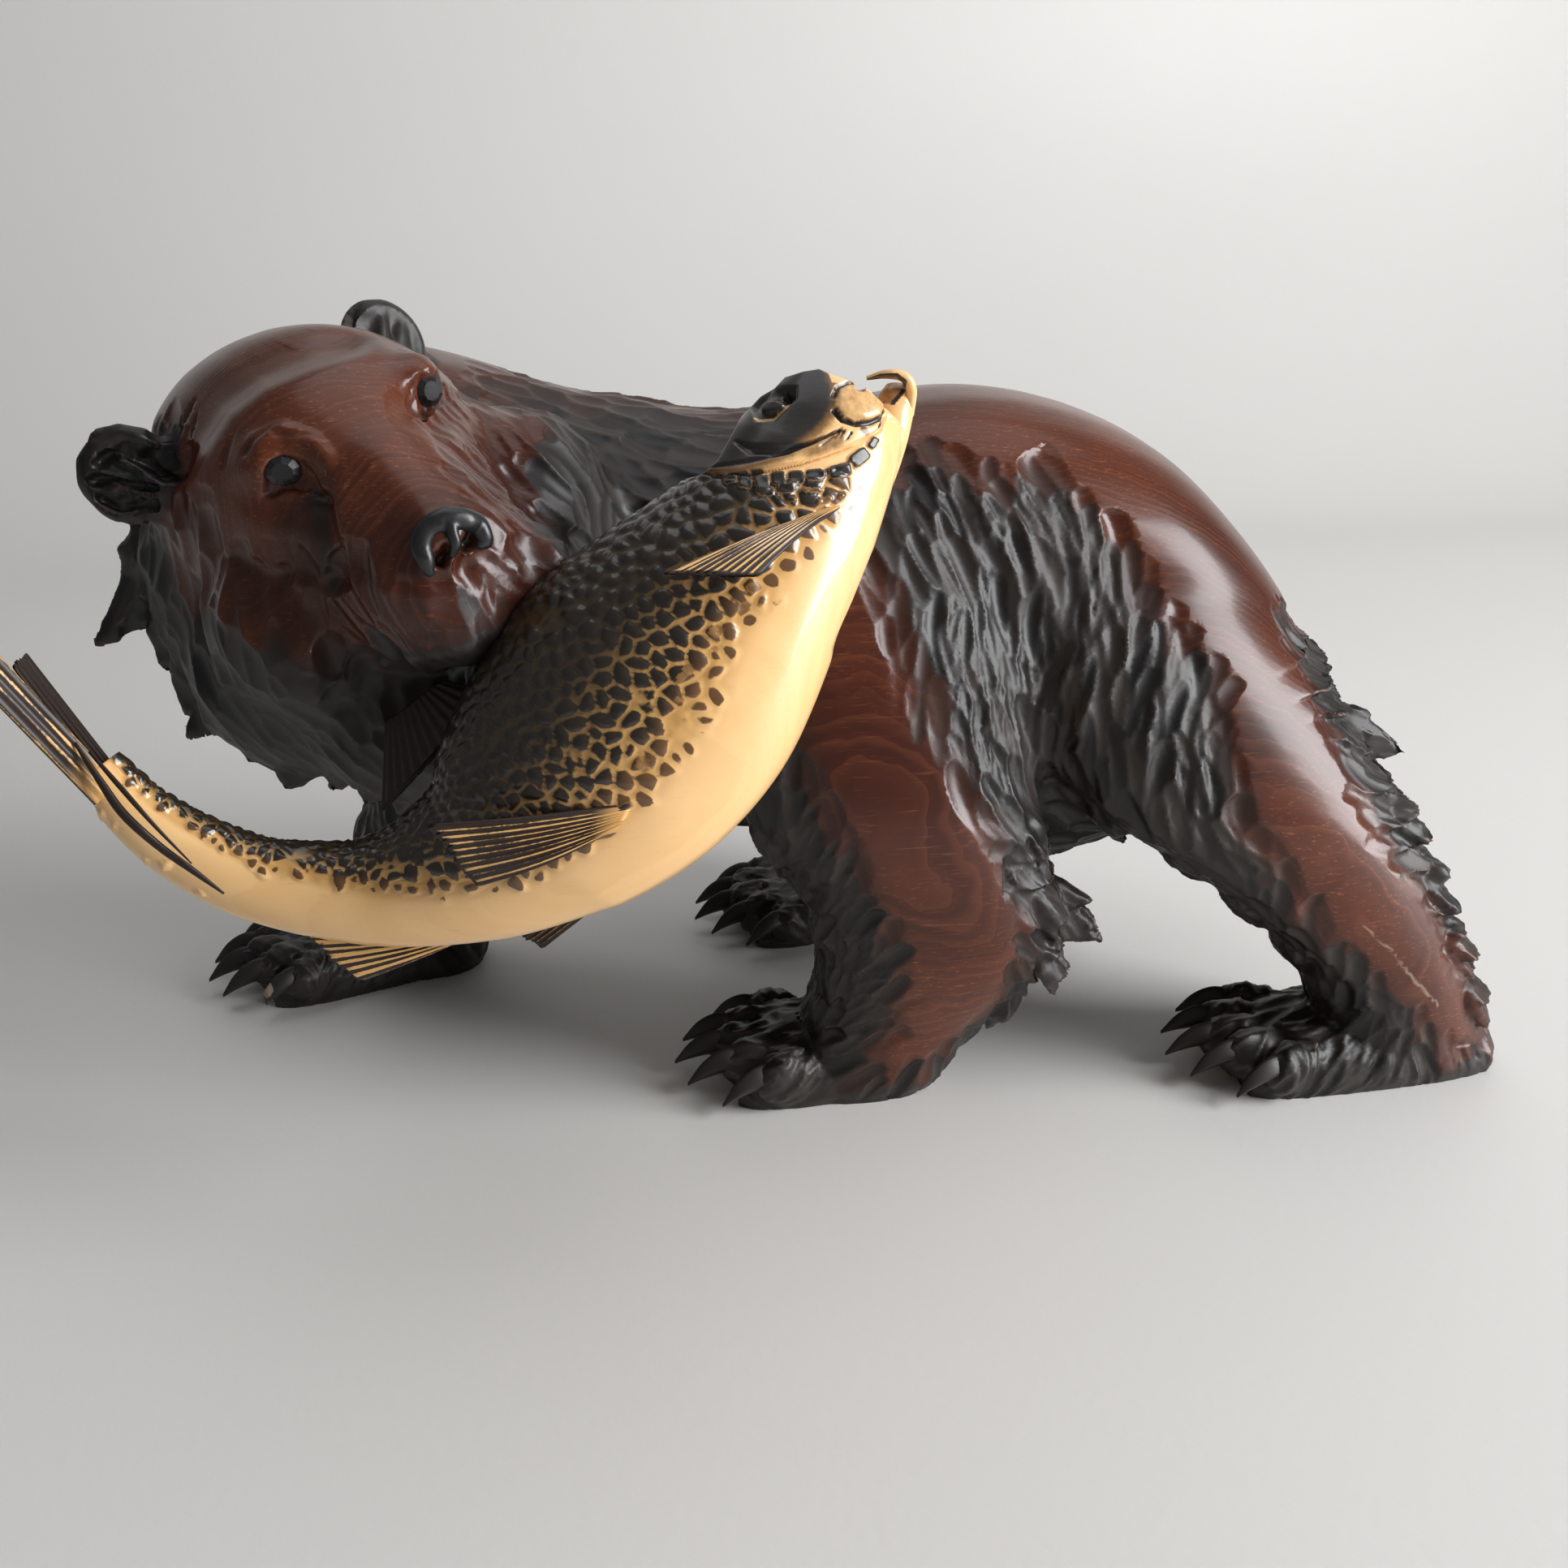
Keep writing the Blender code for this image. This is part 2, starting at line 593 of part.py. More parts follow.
def flank_locks(bm, tree):
    """Fans of locks on both sides of the trunk and neck."""
    for start, end, first, last, number, length in FLANK_ROWS:
        for hand in (-1, 1):
            for k in range(number):
                t = k / (number - 1)
                x = start[0] + (end[0] - start[0]) * t
                z = start[1] + (end[1] - start[1]) * t
                angle = math.radians(first + (last - first) * t)
                spot, normal, _, _ = tree.ray_cast(Vector((x, BESIDE_BODY * hand, z)), Vector((0, -hand, 0)))
                way = Vector((math.cos(angle), 0, math.sin(angle)))
                way = (way - normal * way.dot(normal)).normalized()
                add_lock(bm, spot, way, normal, length, LOCK_WIDTH, LOCK_HEIGHT, FLANK_LOCK_LIFT)


def rump_locks(bm, tree):
    """Staggered rows of locks that hang over the rear of the trunk."""
    for z, number, spread, length, lift in RUMP_ROWS:
        for k in range(number):
            y = spread * (2 * k / (number - 1) - 1)
            spot, normal, _, _ = tree.ray_cast(Vector((BEHIND_BODY, y, z)), Vector((-1, 0, 0)))
            way = Vector((0, RUMP_LOCK_LEAN * y / spread, -1))
            way = (way - normal * way.dot(normal)).normalized()
            add_lock(bm, spot, way, normal, length, LOCK_WIDTH, LOCK_HEIGHT, lift)


def leg_locks(bm, tree):
    """Rows of locks down the front and back edges of every leg."""
    for stations in LEGS.values():
        table = np.array(stations)[::-1]
        outer = -1 if table[0, 3] < 0 else 1
        for angle, number, length, lift in LEG_ROWS:
            a = math.radians(angle)
            for k in range(number):
                z = LEG_ROW_TOP + (LEG_ROW_LOW - LEG_ROW_TOP) * k / (number - 1)
                front, back, y = (float(np.interp(z, table[:, 0], table[:, c])) for c in (1, 2, 3))
                middle = Vector(((front + back) / 2, y, z))
                out = Vector((-math.cos(a), outer * math.sin(a), 0))
                spot, normal, _, _ = tree.ray_cast(middle + out * BESIDE_LEG, -out)
                way = Vector(LEG_LOCK_WAY)
                way = (way - normal * way.dot(normal)).normalized()
                add_lock(bm, spot, way, normal, length, LEG_LOCK_WIDTH, LOCK_HEIGHT, lift)


def ruff_locks(bm):
    """Locks that hang round the lower edge of the ruff, and the lone tufts."""
    hang = Vector(RUFF_HANG).normalized()
    for x, y, z in curve_rows(RUFF_EDGE, 2):
        spot = Vector((x, y, z)) - hang * (RUFF_LENGTH * RUFF_OVERLAP)
        tapered_lock(bm, spot, spot + hang * RUFF_LENGTH, LOCK_WIDTH)
    for root, tip, width in TUFTS:
        tapered_lock(bm, Vector(root), Vector(tip), width)


def tapered_lock(bm, root, tip, width):
    """Lock that stands free of the coat between two points."""
    points = [root.lerp(tip, t) for t, _ in LOCK_STEPS]
    radii = [width / 2 * r for _, r in LOCK_STEPS]
    tapered(bm, points, radii, HANGING_LOCK_FLATNESS, (0, 1, 0))


def drop_crumbs(bm):
    """Delete the stray slivers that thinning leaves beside the one large body."""
    unseen = set(bm.verts)
    groups = []
    while unseen:
        group = {unseen.pop()}
        edge = list(group)
        while edge:
            near = {e.other_vert(v) for v in edge for e in v.link_edges} & unseen
            unseen -= near
            group |= near
            edge = list(near)
        groups.append(group)
    largest = max(groups, key=len)
    crumbs = [v for v in bm.verts if v not in largest]
    bmesh.ops.delete(bm, geom=crumbs, context="VERTS")


def flatten_soles(made):
    """Cut everything below the floor and close the cuts with flat soles."""
    bm = bmesh.new()
    bm.from_mesh(made.data)
    geometry = bm.verts[:] + bm.edges[:] + bm.faces[:]
    bmesh.ops.bisect_plane(
        bm, geom=geometry, dist=0.0002, plane_co=(0, 0, 0), plane_no=(0, 0, 1), clear_inner=True
    )
    rim = [e for e in bm.edges if e.is_boundary]
    for v in {v for e in rim for v in e.verts}:
        v.co.z = 0
    bmesh.ops.holes_fill(bm, edges=rim, sides=0)
    bmesh.ops.triangulate(bm, faces=bm.faces[:])
    drop_crumbs(bm)
    bm.to_mesh(made.data)
    bm.free()


def thin(made, triangles):
    """Collapse the fine skin to the given number of triangles."""
    collapse = made.modifiers.new("Thin", "DECIMATE")
    collapse.ratio = triangles / (2 * len(made.data.polygons))
    apply_modifiers(made)


def centre_on_origin(made):
    """Move the middle of the footprint of the outer box to the origin."""
    spots = np.array([v.co for v in made.data.vertices])
    middle = (spots.min(axis=0) + spots.max(axis=0)) / 2
    made.data.transform(Matrix.Translation((-middle[0], -middle[1], 0)))


def main():
    """Build the one solid from the masses, the carved parts and the fish."""
    for old in list(bpy.data.objects):
        bpy.data.objects.remove(old, do_unlink=True)
    body = body_masses()
    bm = bmesh.new()
    bm.from_mesh(body.data)
    tree = BVHTree.FromBMesh(bm)
    for name in PAWS:
        add_paw(bm, name)
    for hand in (-1, 1):
        add_ear(bm, hand)
    add_eyes_and_nose(bm)
    flank_locks(bm, tree)
    leg_locks(bm, tree)
    rump_locks(bm, tree)
    ruff_locks(bm)
    add_salmon(bm)
    add_fins(bm)
    bear = mesh_object("carved_bear", bm)
    bpy.data.objects.remove(body, do_unlink=True)
    blend(bear, FINE_VOXEL, 1)
    thin(bear, TRIANGLES)
    flatten_soles(bear)
    centre_on_origin(bear)
    wood = bpy.data.materials.new("carved_wood")
    wood.use_nodes = True
    bear.data.materials.clear()
    bear.data.materials.append(wood)


main()
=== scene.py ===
"""Looks of a carved wooden bear that holds a salmon across its mouth.

The bear is fused from the same masses as its solid and then cut all over with gouge strokes that
follow the coat. The salmon, its fins, the eyes and the pad of the nose are skins of their own.
Shapes are given in metres in the carver's frame: the bear faces -X, its left side is on -Y, and the
floor is Z = 0. The last step moves them onto the frame of the part.
"""

import math

import bpy
import numpy as np
from mathutils import Matrix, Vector
from mathutils.geometry import tessellate_polygon


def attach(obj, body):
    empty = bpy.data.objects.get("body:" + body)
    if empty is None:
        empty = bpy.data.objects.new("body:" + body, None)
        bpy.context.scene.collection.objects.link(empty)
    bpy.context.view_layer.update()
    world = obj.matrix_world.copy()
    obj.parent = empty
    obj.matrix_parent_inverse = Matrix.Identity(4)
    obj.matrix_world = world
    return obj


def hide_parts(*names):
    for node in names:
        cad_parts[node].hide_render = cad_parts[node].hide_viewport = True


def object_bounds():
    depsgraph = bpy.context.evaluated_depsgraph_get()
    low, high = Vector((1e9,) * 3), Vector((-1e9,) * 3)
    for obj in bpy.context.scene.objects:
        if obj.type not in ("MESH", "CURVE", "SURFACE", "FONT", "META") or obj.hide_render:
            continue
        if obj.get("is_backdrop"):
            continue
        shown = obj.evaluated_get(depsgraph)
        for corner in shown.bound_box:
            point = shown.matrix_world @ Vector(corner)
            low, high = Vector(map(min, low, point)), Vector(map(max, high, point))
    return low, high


NODE = "carved_bear"
# The carver's origin in the frame of the part.
CARVER_ORIGIN = np.array([0.00857, 0.03324, 0.0])

# Rounded trunk: x, y of the middle, top, underside, half width.
TRUNK = [
    (-0.150, 0.012, 0.278, 0.150, 0.045),
    (-0.128, 0.012, 0.283, 0.122, 0.064),
    (-0.095, 0.010, 0.279, 0.106, 0.074),
    (-0.050, 0.006, 0.272, 0.100, 0.079),
    (0.000, 0.000, 0.274, 0.096, 0.080),
    (0.050, 0.000, 0.280, 0.077, 0.080),
    (0.094, 0.000, 0.273, 0.078, 0.080),
    (0.135, 0.000, 0.254, 0.094, 0.081),
    (0.168, 0.000, 0.223, 0.100, 0.078),
    (0.193, 0.000, 0.189, 0.102, 0.069),
    (0.214, 0.000, 0.153, 0.104, 0.050),
    (0.227, 0.000, 0.127, 0.108, 0.028),
]
# Neck that swings from the shoulders to the back of the head.
NECK = [
    (-0.070, 0.008, 0.273, 0.135, 0.070),
    (-0.115, 0.010, 0.284, 0.132, 0.070),
    (-0.155, 0.012, 0.296, 0.136, 0.070),
    (-0.195, 0.012, 0.302, 0.145, 0.066),
    (-0.228, 0.010, 0.297, 0.160, 0.054),
    (-0.250, 0.008, 0.284, 0.180, 0.036),
]
# Legs, from the body down: z, front x, back x, y of the middle, half width.
LEGS = {
    "front_left": [
        (0.235, -0.052, 0.052, -0.038, 0.036),
        (0.195, -0.062, 0.068, -0.052, 0.042),
        (0.155, -0.058, 0.073, -0.062, 0.042),
        (0.125, -0.044, 0.072, -0.069, 0.040),
        (0.098, -0.025, 0.076, -0.072, 0.036),
        (0.072, -0.017, 0.082, -0.071, 0.034),
        (0.050, -0.016, 0.074, -0.067, 0.031),
        (0.032, -0.020, 0.060, -0.062, 0.029),
        (0.014, -0.028, 0.047, -0.059, 0.028),
        (-0.006, -0.034, 0.036, -0.057, 0.027),
    ],
    "front_right": [
        (0.235, -0.110, -0.005, 0.038, 0.036),
        (0.195, -0.135, -0.010, 0.052, 0.042),
        (0.155, -0.165, -0.030, 0.060, 0.042),
        (0.125, -0.188, -0.052, 0.062, 0.039),
        (0.098, -0.200, -0.082, 0.063, 0.036),
        (0.072, -0.208, -0.108, 0.065, 0.033),
        (0.050, -0.213, -0.128, 0.068, 0.030),
        (0.032, -0.218, -0.144, 0.072, 0.028),
        (0.014, -0.222, -0.152, 0.076, 0.027),
        (-0.006, -0.224, -0.156, 0.078, 0.025),
    ],
    "hind_left": [
        (0.225, 0.062, 0.150, -0.034, 0.032),
        (0.190, 0.056, 0.176, -0.050, 0.040),
        (0.155, 0.064, 0.201, -0.062, 0.044),
        (0.125, 0.090, 0.220, -0.072, 0.042),
        (0.100, 0.130, 0.234, -0.079, 0.037),
        (0.075, 0.162, 0.245, -0.083, 0.033),
        (0.052, 0.185, 0.257, -0.084, 0.030),
        (0.034, 0.196, 0.267, -0.083, 0.028),
        (0.016, 0.196, 0.277, -0.083, 0.026),
        (-0.006, 0.196, 0.285, -0.083, 0.023),
    ],
    "hind_right": [
        (0.225, 0.060, 0.165, 0.034, 0.034),
        (0.190, 0.045, 0.186, 0.050, 0.042),
        (0.155, 0.030, 0.192, 0.062, 0.045),
        (0.125, 0.028, 0.170, 0.072, 0.042),
        (0.100, 0.030, 0.142, 0.079, 0.037),
        (0.075, 0.034, 0.124, 0.083, 0.033),
        (0.052, 0.034, 0.108, 0.088, 0.029),
        (0.034, 0.026, 0.098, 0.091, 0.027),
        (0.016, 0.016, 0.092, 0.093, 0.026),
        (-0.006, 0.012, 0.088, 0.094, 0.024),
    ],
}
# Paws, along the foot: distance from the heel, top, half width.
PAW_PROFILE = [
    (0.000, 0.020, 0.020),
    (0.020, 0.028, 0.026),
    (0.045, 0.029, 0.029),
    (0.066, 0.026, 0.031),
    (0.080, 0.021, 0.030),
    (0.088, 0.013, 0.026),
]
PAW_LENGTH = 0.098
PAW_AXIS_HEIGHT = 0.006
SOLE_DEPTH = 0.014
# Heel x and y, turn of the foot towards the bear's right, length.
PAWS = {
    "front_left": (0.034, -0.057, 0.04, 0.092),
    "front_right": (-0.166, 0.084, -0.26, 0.104),
    "hind_left": (0.272, -0.083, 0.03, 0.122),
    "hind_right": (0.068, 0.097, -0.12, 0.104),
}
CLAWS_PER_PAW = 5
TOE_SPREAD = 0.026
TOE_FAN = 0.34
TOE_SETBACK = 0.014
TOE_ARC = 0.016
KNUCKLE_HEIGHT = 0.014
KNUCKLE_RADII = (0.016, 0.0085, 0.0115)
CLAW_LENGTH = 0.024
CLAW_RADIUS = 0.0052
# Share of its length that a claw with a broken tip has left.
CLAW_LEFT = 0.80
CLAW_SEAT = (0.006, 0.001)
# Along a claw: share of its length, drop, share of its radius.
CLAW_STEPS = ((0.0, 0.0, 1.0), (0.36, 0.0006, 0.95), (0.70, -0.0022, 0.68), (0.98, -0.0072, 0.14))

# Head, in its own frame: x towards the nose, y to the bear's left, z to the crown.
HEAD_CENTRE = np.array([-0.197, -0.036, 0.2525])
HEAD_FORWARD = np.array([0.4562, -0.8832, 0.1087])
HEAD_CROWN = np.array([-0.4076, -0.0988, 0.9078])
# Half length, half width and half height of the head.
HEAD_SIZE = (0.14, 0.085, 0.125)
# Skull and muzzle: x, top, underside, half width, y of the middle.
SKULL = [
    (-0.078, 0.020, -0.045, 0.026, 0.000),
    (-0.060, 0.040, -0.066, 0.046, 0.000),
    (-0.030, 0.053, -0.080, 0.058, 0.000),
    (0.005, 0.057, -0.082, 0.060, 0.000),
    (0.035, 0.055, -0.076, 0.056, 0.000),
    (0.058, 0.047, -0.067, 0.047, -0.001),
    (0.078, 0.032, -0.060, 0.038, -0.003),
    (0.094, 0.017, -0.056, 0.032, -0.005),
    (0.107, 0.006, -0.053, 0.028, -0.006),
    (0.116, -0.002, -0.050, 0.023, -0.007),
    (0.121, -0.011, -0.044, 0.013, -0.007),
]
EAR_SEATS = {-1: (-0.002, -0.054, 0.036), 1: (-0.002, 0.050, 0.030)}
EAR_RADIUS = 0.0175
EAR_THICKNESS = 0.017
EAR_DISH = 0.75
EAR_DISH_EDGE = 0.62
EAR_AXIS = (0.90, 0.30, 0.15)
EAR_TIP = (0.0, 0.66, 0.75)
# Petals in the dish of an ear: where across it their foot and tip lie.
EAR_PETALS = ((-0.0045, -0.0055), (0.0030, 0.0025))
EAR_PETAL_WIDTH = 0.0075
# How far foot and tip of a petal lie out of the ear's middle plane and towards its tip.
PETAL_FOOT = (0.0030, -0.012)
PETAL_TIP = (0.0045, 0.011)
EAR_ROOT_DEPTH = 0.014
EAR_ROOT_RADII = (0.010, 0.014, 0.014)
# Swellings of the body: centre, radii; those of the face are in the head's frame, for both halves.
MANE = [
    ((-0.212, -0.012, 0.216), (0.057, 0.060, 0.062)),
    ((-0.200, -0.040, 0.190), (0.052, 0.050, 0.048)),
    ((-0.165, -0.066, 0.181), (0.046, 0.045, 0.041)),
    ((-0.128, -0.048, 0.236), (0.042, 0.040, 0.048)),
]
FACE = [
    ((0.036, 0.046, -0.030), (0.036, 0.026, 0.034)),
    ((0.094, 0.017, -0.036), (0.030, 0.018, 0.017)),
    ((0.058, 0.029, 0.027), (0.018, 0.011, 0.009)),
]

# Salmon: x, y, z of the axis, half height to the back, to the belly, half thickness.
SALMON = [
    (-0.0150, -0.1140, 0.2943, 0.0055, 0.0115, 0.0080),
    (-0.0178, -0.1148, 0.2925, 0.0104, 0.0185, 0.0115),
    (-0.0208, -0.1160, 0.2905, 0.0148, 0.0240, 0.0150),
    (-0.0258, -0.1200, 0.2815, 0.0202, 0.0285, 0.0185),
    (-0.0314, -0.1240, 0.2705, 0.0253, 0.0305, 0.0215),
    (-0.0392, -0.1290, 0.2582, 0.0282, 0.0334, 0.0235),
    (-0.0493, -0.1340, 0.2450, 0.0330, 0.0371, 0.0255),
    (-0.0672, -0.140, 0.2243, 0.0425, 0.0453, 0.0280),
    (-0.0840, -0.145, 0.2048, 0.0498, 0.0498, 0.0290),
    (-0.1027, -0.149, 0.1849, 0.0483, 0.0483, 0.0280),
    (-0.1233, -0.151, 0.1657, 0.0405, 0.0405, 0.0250),
    (-0.1445, -0.151, 0.1499, 0.0282, 0.0282, 0.0205),
    (-0.1754, -0.149, 0.1402, 0.0184, 0.0184, 0.0155),
    (-0.2081, -0.146, 0.1436, 0.0142, 0.0142, 0.0115),
    (-0.2303, -0.143, 0.1533, 0.0125, 0.0125, 0.0095),
    (-0.2477, -0.140, 0.1671, 0.0103, 0.0103, 0.0080),
    (-0.2597, -0.137, 0.1841, 0.0075, 0.0075, 0.0065),
]
SALMON_OUT = np.array([-0.146, -0.920, 0.363])
SALMON_STEPS = 24
SALMON_ANGLES = 240
# Scales begin this far from the snout; one scale is so long along the fish and so wide across it.
SCALE_START = 0.030
SCALE_LENGTH = 0.0050
SCALE_WIDTH = 0.0066
SCALE_HEIGHT = 0.0010
# Distances from the snout at which the size of the scales is given.
SCALE_PLACES = (0.05, 0.12, 0.25)
# A scale's seed is looked for this far round a point; further off counts as this many scales away.
SCALE_SEARCH = 0.009
FAR_OFF = 9.0
# Lower edge of the dark flank: distance from the snout, angle.
STAIN_EDGE = [
    (0.0, -30), (0.045, -22), (0.065, -12), (0.090, -8), (0.110, -12), (0.150, -17), (0.180, -16),
    (0.211, -4), (0.250, 22), (0.290, 40), (0.320, 48), (0.340, 50),
]

# Camera of the photo: place, view axis and lens, in the carver's frame.
CAMERA_EYE = np.array([-0.1182, -0.6313, 0.360])
CAMERA_RIGHT = np.array([0.9877, -0.1564, 0.0])
CAMERA_UP = np.array([0.0568, 0.3588, 0.9317])
CAMERA_VIEW = np.cross(CAMERA_UP, CAMERA_RIGHT)
CAMERA_LENS = 36.1
CAMERA_SENSOR = 36.0

# From here on, paths and outlines are places in the photo, in pixels to the right and down.
PHOTO_SIZE = 1932
# Distance of the picture from the eye, in pixels.
PHOTO_FOCUS = CAMERA_LENS / CAMERA_SENSOR * PHOTO_SIZE
# Marks softer than this many pixels are shaded all the way.
WIDE_SHADING = 20
# One pixel of the photo on the bear, in metres.
PIXEL = 0.00027
GILL_COVER = [
    (868, 583), (891, 586), (922, 583), (954, 577), (983, 571), (1014, 561), (1044, 550), (1069, 538),
    (1083, 528), (1088, 512), (1094, 490), (1090, 440), (1000, 430), (900, 440), (846, 575),
]
# The head drawn in the photo ends this far from the snout. Rise of the gill cover, depth of the groove
# round it, rise of the plates.
HEAD_END = 0.11
GILL_RISE = 0.0018
GILL_GROOVE = 0.0012
PLATE_RISE = 0.0010
# Marks on the fish: kind, shape, softness in pixels, stain from 0 (pale) to 1 (black), height in metres.
FISH_MARKS = [
    ("patch", [(862, 592), (932, 577), (973, 561), (995, 544), (1013, 528), (1024, 512), (1030, 491),
               (1024, 469), (1013, 440), (990, 430), (930, 455), (880, 530), (845, 590)], 22, 1.05, 0.0),
    ("patch", [(1019, 461), (1054, 467), (1052, 478), (1024, 475)], 2, 0.05, 0.0),
    ("patch", [(1029, 485), (1040, 479), (1060, 481), (1077, 493), (1085, 508), (1081, 518), (1060, 522),
               (1040, 516), (1028, 510)], 7, 0.28, 0.0012),
    ("line", [(1026, 492), (1030, 482), (1044, 476), (1062, 480)], 5, 0.7, -0.0012),
    ("line", [(1027, 510), (1036, 520), (1052, 525), (1069, 523), (1083, 517), (1088, 503)], 5, 1.0, -0.0020),
    ("line", [(1080, 528), (1086, 518), (1089, 508)], 3, 0.95, -0.0008),
    ("patch", [(913, 549), (930, 553), (960, 553), (1009, 545), (1034, 531), (1000, 550), (965, 562),
               (930, 562)], 3, 1.0, -0.0012),
    ("line", [(911, 549), (926, 561), (954, 562), (983, 553), (1015, 541), (1034, 532)], 3.5, 0.95, -0.0010),
    ("line", [(874, 581), (922, 573), (971, 561), (1003, 546)], 3, 0.9, -0.0007),
    ("line", [(1011, 552), (1025, 541)], 3, 1.0, -0.0006),
    ("line", [(1027, 543), (1034, 534)], 2.4, 1.0, -0.0005),
    ("line", [(1033, 542), (1039, 533)], 2.2, 1.0, -0.0005),
    ("line", [(1041, 544), (1047, 535)], 2.2, 1.0, -0.0005),
    ("line", [(1000, 560), (1018, 553), (1030, 547)], 22, 0.42, 0.0),
    ("line", [(1061, 531), (1064, 535)], 7, 0.60, 0.0),
    ("line", [(1088, 530), (1098, 512)], 4, 0.62, 0.0),
    ("line", [(1094, 505), (1102, 496)], 4, 0.9, 0.0),
    ("line", [(1119, 498), (1122, 482), (1125, 466)], 2.5, 0.7, 0.0),
    ("patch", [(926, 499), (954, 484), (981, 483), (980, 495), (955, 521), (935, 522)], 4, 0.95, -0.0022),
    ("line", [(934, 519), (954, 517), (976, 498)], 4.5, 0.0, 0.0),
    ("line", [(969, 489), (976, 493)], 6, 1.0, -0.0030),
    ("oval", (954, 504, 16, 7, -15), 3, 1.0, 0.0022),
    ("line", [(944, 505), (962, 500)], 2.5, 0.75, 0.0),
    ("patch", [(1070, 470), (1080, 498), (1098, 497), (1112, 482), (1114, 466), (1085, 463)], 4, 0.42, 0.0),
    ("line", [(1068, 469), (1085, 463), (1105, 462), (1115, 470), (1113, 482), (1100, 497)], 4, 1.0, 0.0),
]
# Marks on the belly of the fish, given in the same way.
BELLY_MARKS = [
    ("line", [(694, 1026), (720, 1018), (744, 1008), (776, 990)], 7, 0.85, 0.0010),
    ("line", [(688, 1046), (724, 1038), (756, 1028)], 3, 0.6, -0.0004),
    ("oval", (928, 725, 11, 7, -15), 5, 0.62, 0.0), ("oval", (917, 750, 10, 7, -55), 5, 0.60, 0.0),
    ("oval", (882, 778, 11, 9, -20), 5, 0.42, 0.0), ("oval", (880, 800, 6, 5, 0), 5, 0.36, 0.0),
    ("oval", (848, 826, 8, 8, -40), 5, 0.55, 0.0), ("oval", (838, 836, 8, 6, -60), 5, 0.50, 0.0),
    ("oval", (836, 862, 6, 5, 0), 5, 0.45, 0.0), ("oval", (792, 942, 12, 10, -70), 5, 0.40, 0.0),
    ("line", [(893, 700), (900, 680), (931, 706), (946, 698)], 9, 0.95, 0.0008),
]

# Outline of the fish's crown and of its throat, seen from the front.
FISH_TOP = [
    (846, 592), (868, 583), (883, 569), (897, 544), (922, 497), (954, 479), (967, 465), (990, 458),
    (1009, 455), (1028, 463), (1040, 467), (1051, 471), (1056, 482), (1076, 484),
]
FISH_THROAT = [
    (1130, 471), (1126, 497), (1120, 528), (1109, 563), (1095, 614), (1076, 675), (1050, 740),
    (1023, 800),
]
# Columns between which the paring of the crown sets in, where it ends, the rows for the throat, and the
# share of what stands over each outline that is pared off.
CROWN_START = (830, 860)
CROWN_END = 1066
THROAT_START = (830, 770)
CROWN_PARING = 0.94
THROAT_PARING = 0.90
# Large plates behind the gill cover: middle, half length, half width, tilt in degrees, stain.
FISH_PLATES = [
    (901, 593, 8, 5, 0, 1.0), (919, 597, 8, 7, 3, 1.0), (939, 594, 9, 8, 0, 1.0),
    (959, 590, 9, 9, -5, 1.0), (981, 589, 10, 9, -5, 1.0), (1004, 586, 12, 8, -5, 0.9),
    (1034, 581, 14, 9, -14, 0.95), (1058, 564, 13, 9, -38, 1.0), (1075, 546, 8, 5, -60, 1.0),
    (943, 606, 11, 6, 4, 1.0), (967, 603, 12, 6, 0, 0.95), (1000, 605, 14, 3, 0, 0.7),
    (1037, 611, 5, 4, -50, 0.7), (1015, 618, 9, 4, -20, 0.55), (975, 617, 6, 3, 0, 0.8),
]
# Lower jaw with its hooked tip: place, half width, all in pixels; it lies on the upright plane of the head.
JAW = [(1072, 640, 10), (1086, 590, 16), (1097, 545, 20), (1102, 510, 23), (1105, 490, 23), (1106, 476, 15)]
JAW_PLANES = (-0.135, -0.124, -0.116, -0.113)
HOOK = [(1121, 512, 5), (1123, 480, 6.5), (1113, 464, 6.5), (1092, 461, 5.5), (1068, 466, 2.5)]
HOOK_PLANES = (-0.118, -0.120, -0.119, -0.116)
# Long rays of the tail that lie along the body: place, half width.
TAIL_RAYS = [
    [(92, 915, 2.0), (123, 962, 4.5), (152, 1003, 5.5), (195, 1042, 5.0), (238, 1073, 4.0), (276, 1101, 1.5)],
    [(110, 926, 2.0), (150, 972, 3.2), (191, 1018, 2.4), (236, 1064, 1.0)],
]
TAIL_RAY_PLANES = ((-0.146, -0.1565, -0.160), (-0.146, -0.1555, -0.160))
# How deep the feet of the fins sit in the fish.
FIN_SEAT = 0.0012
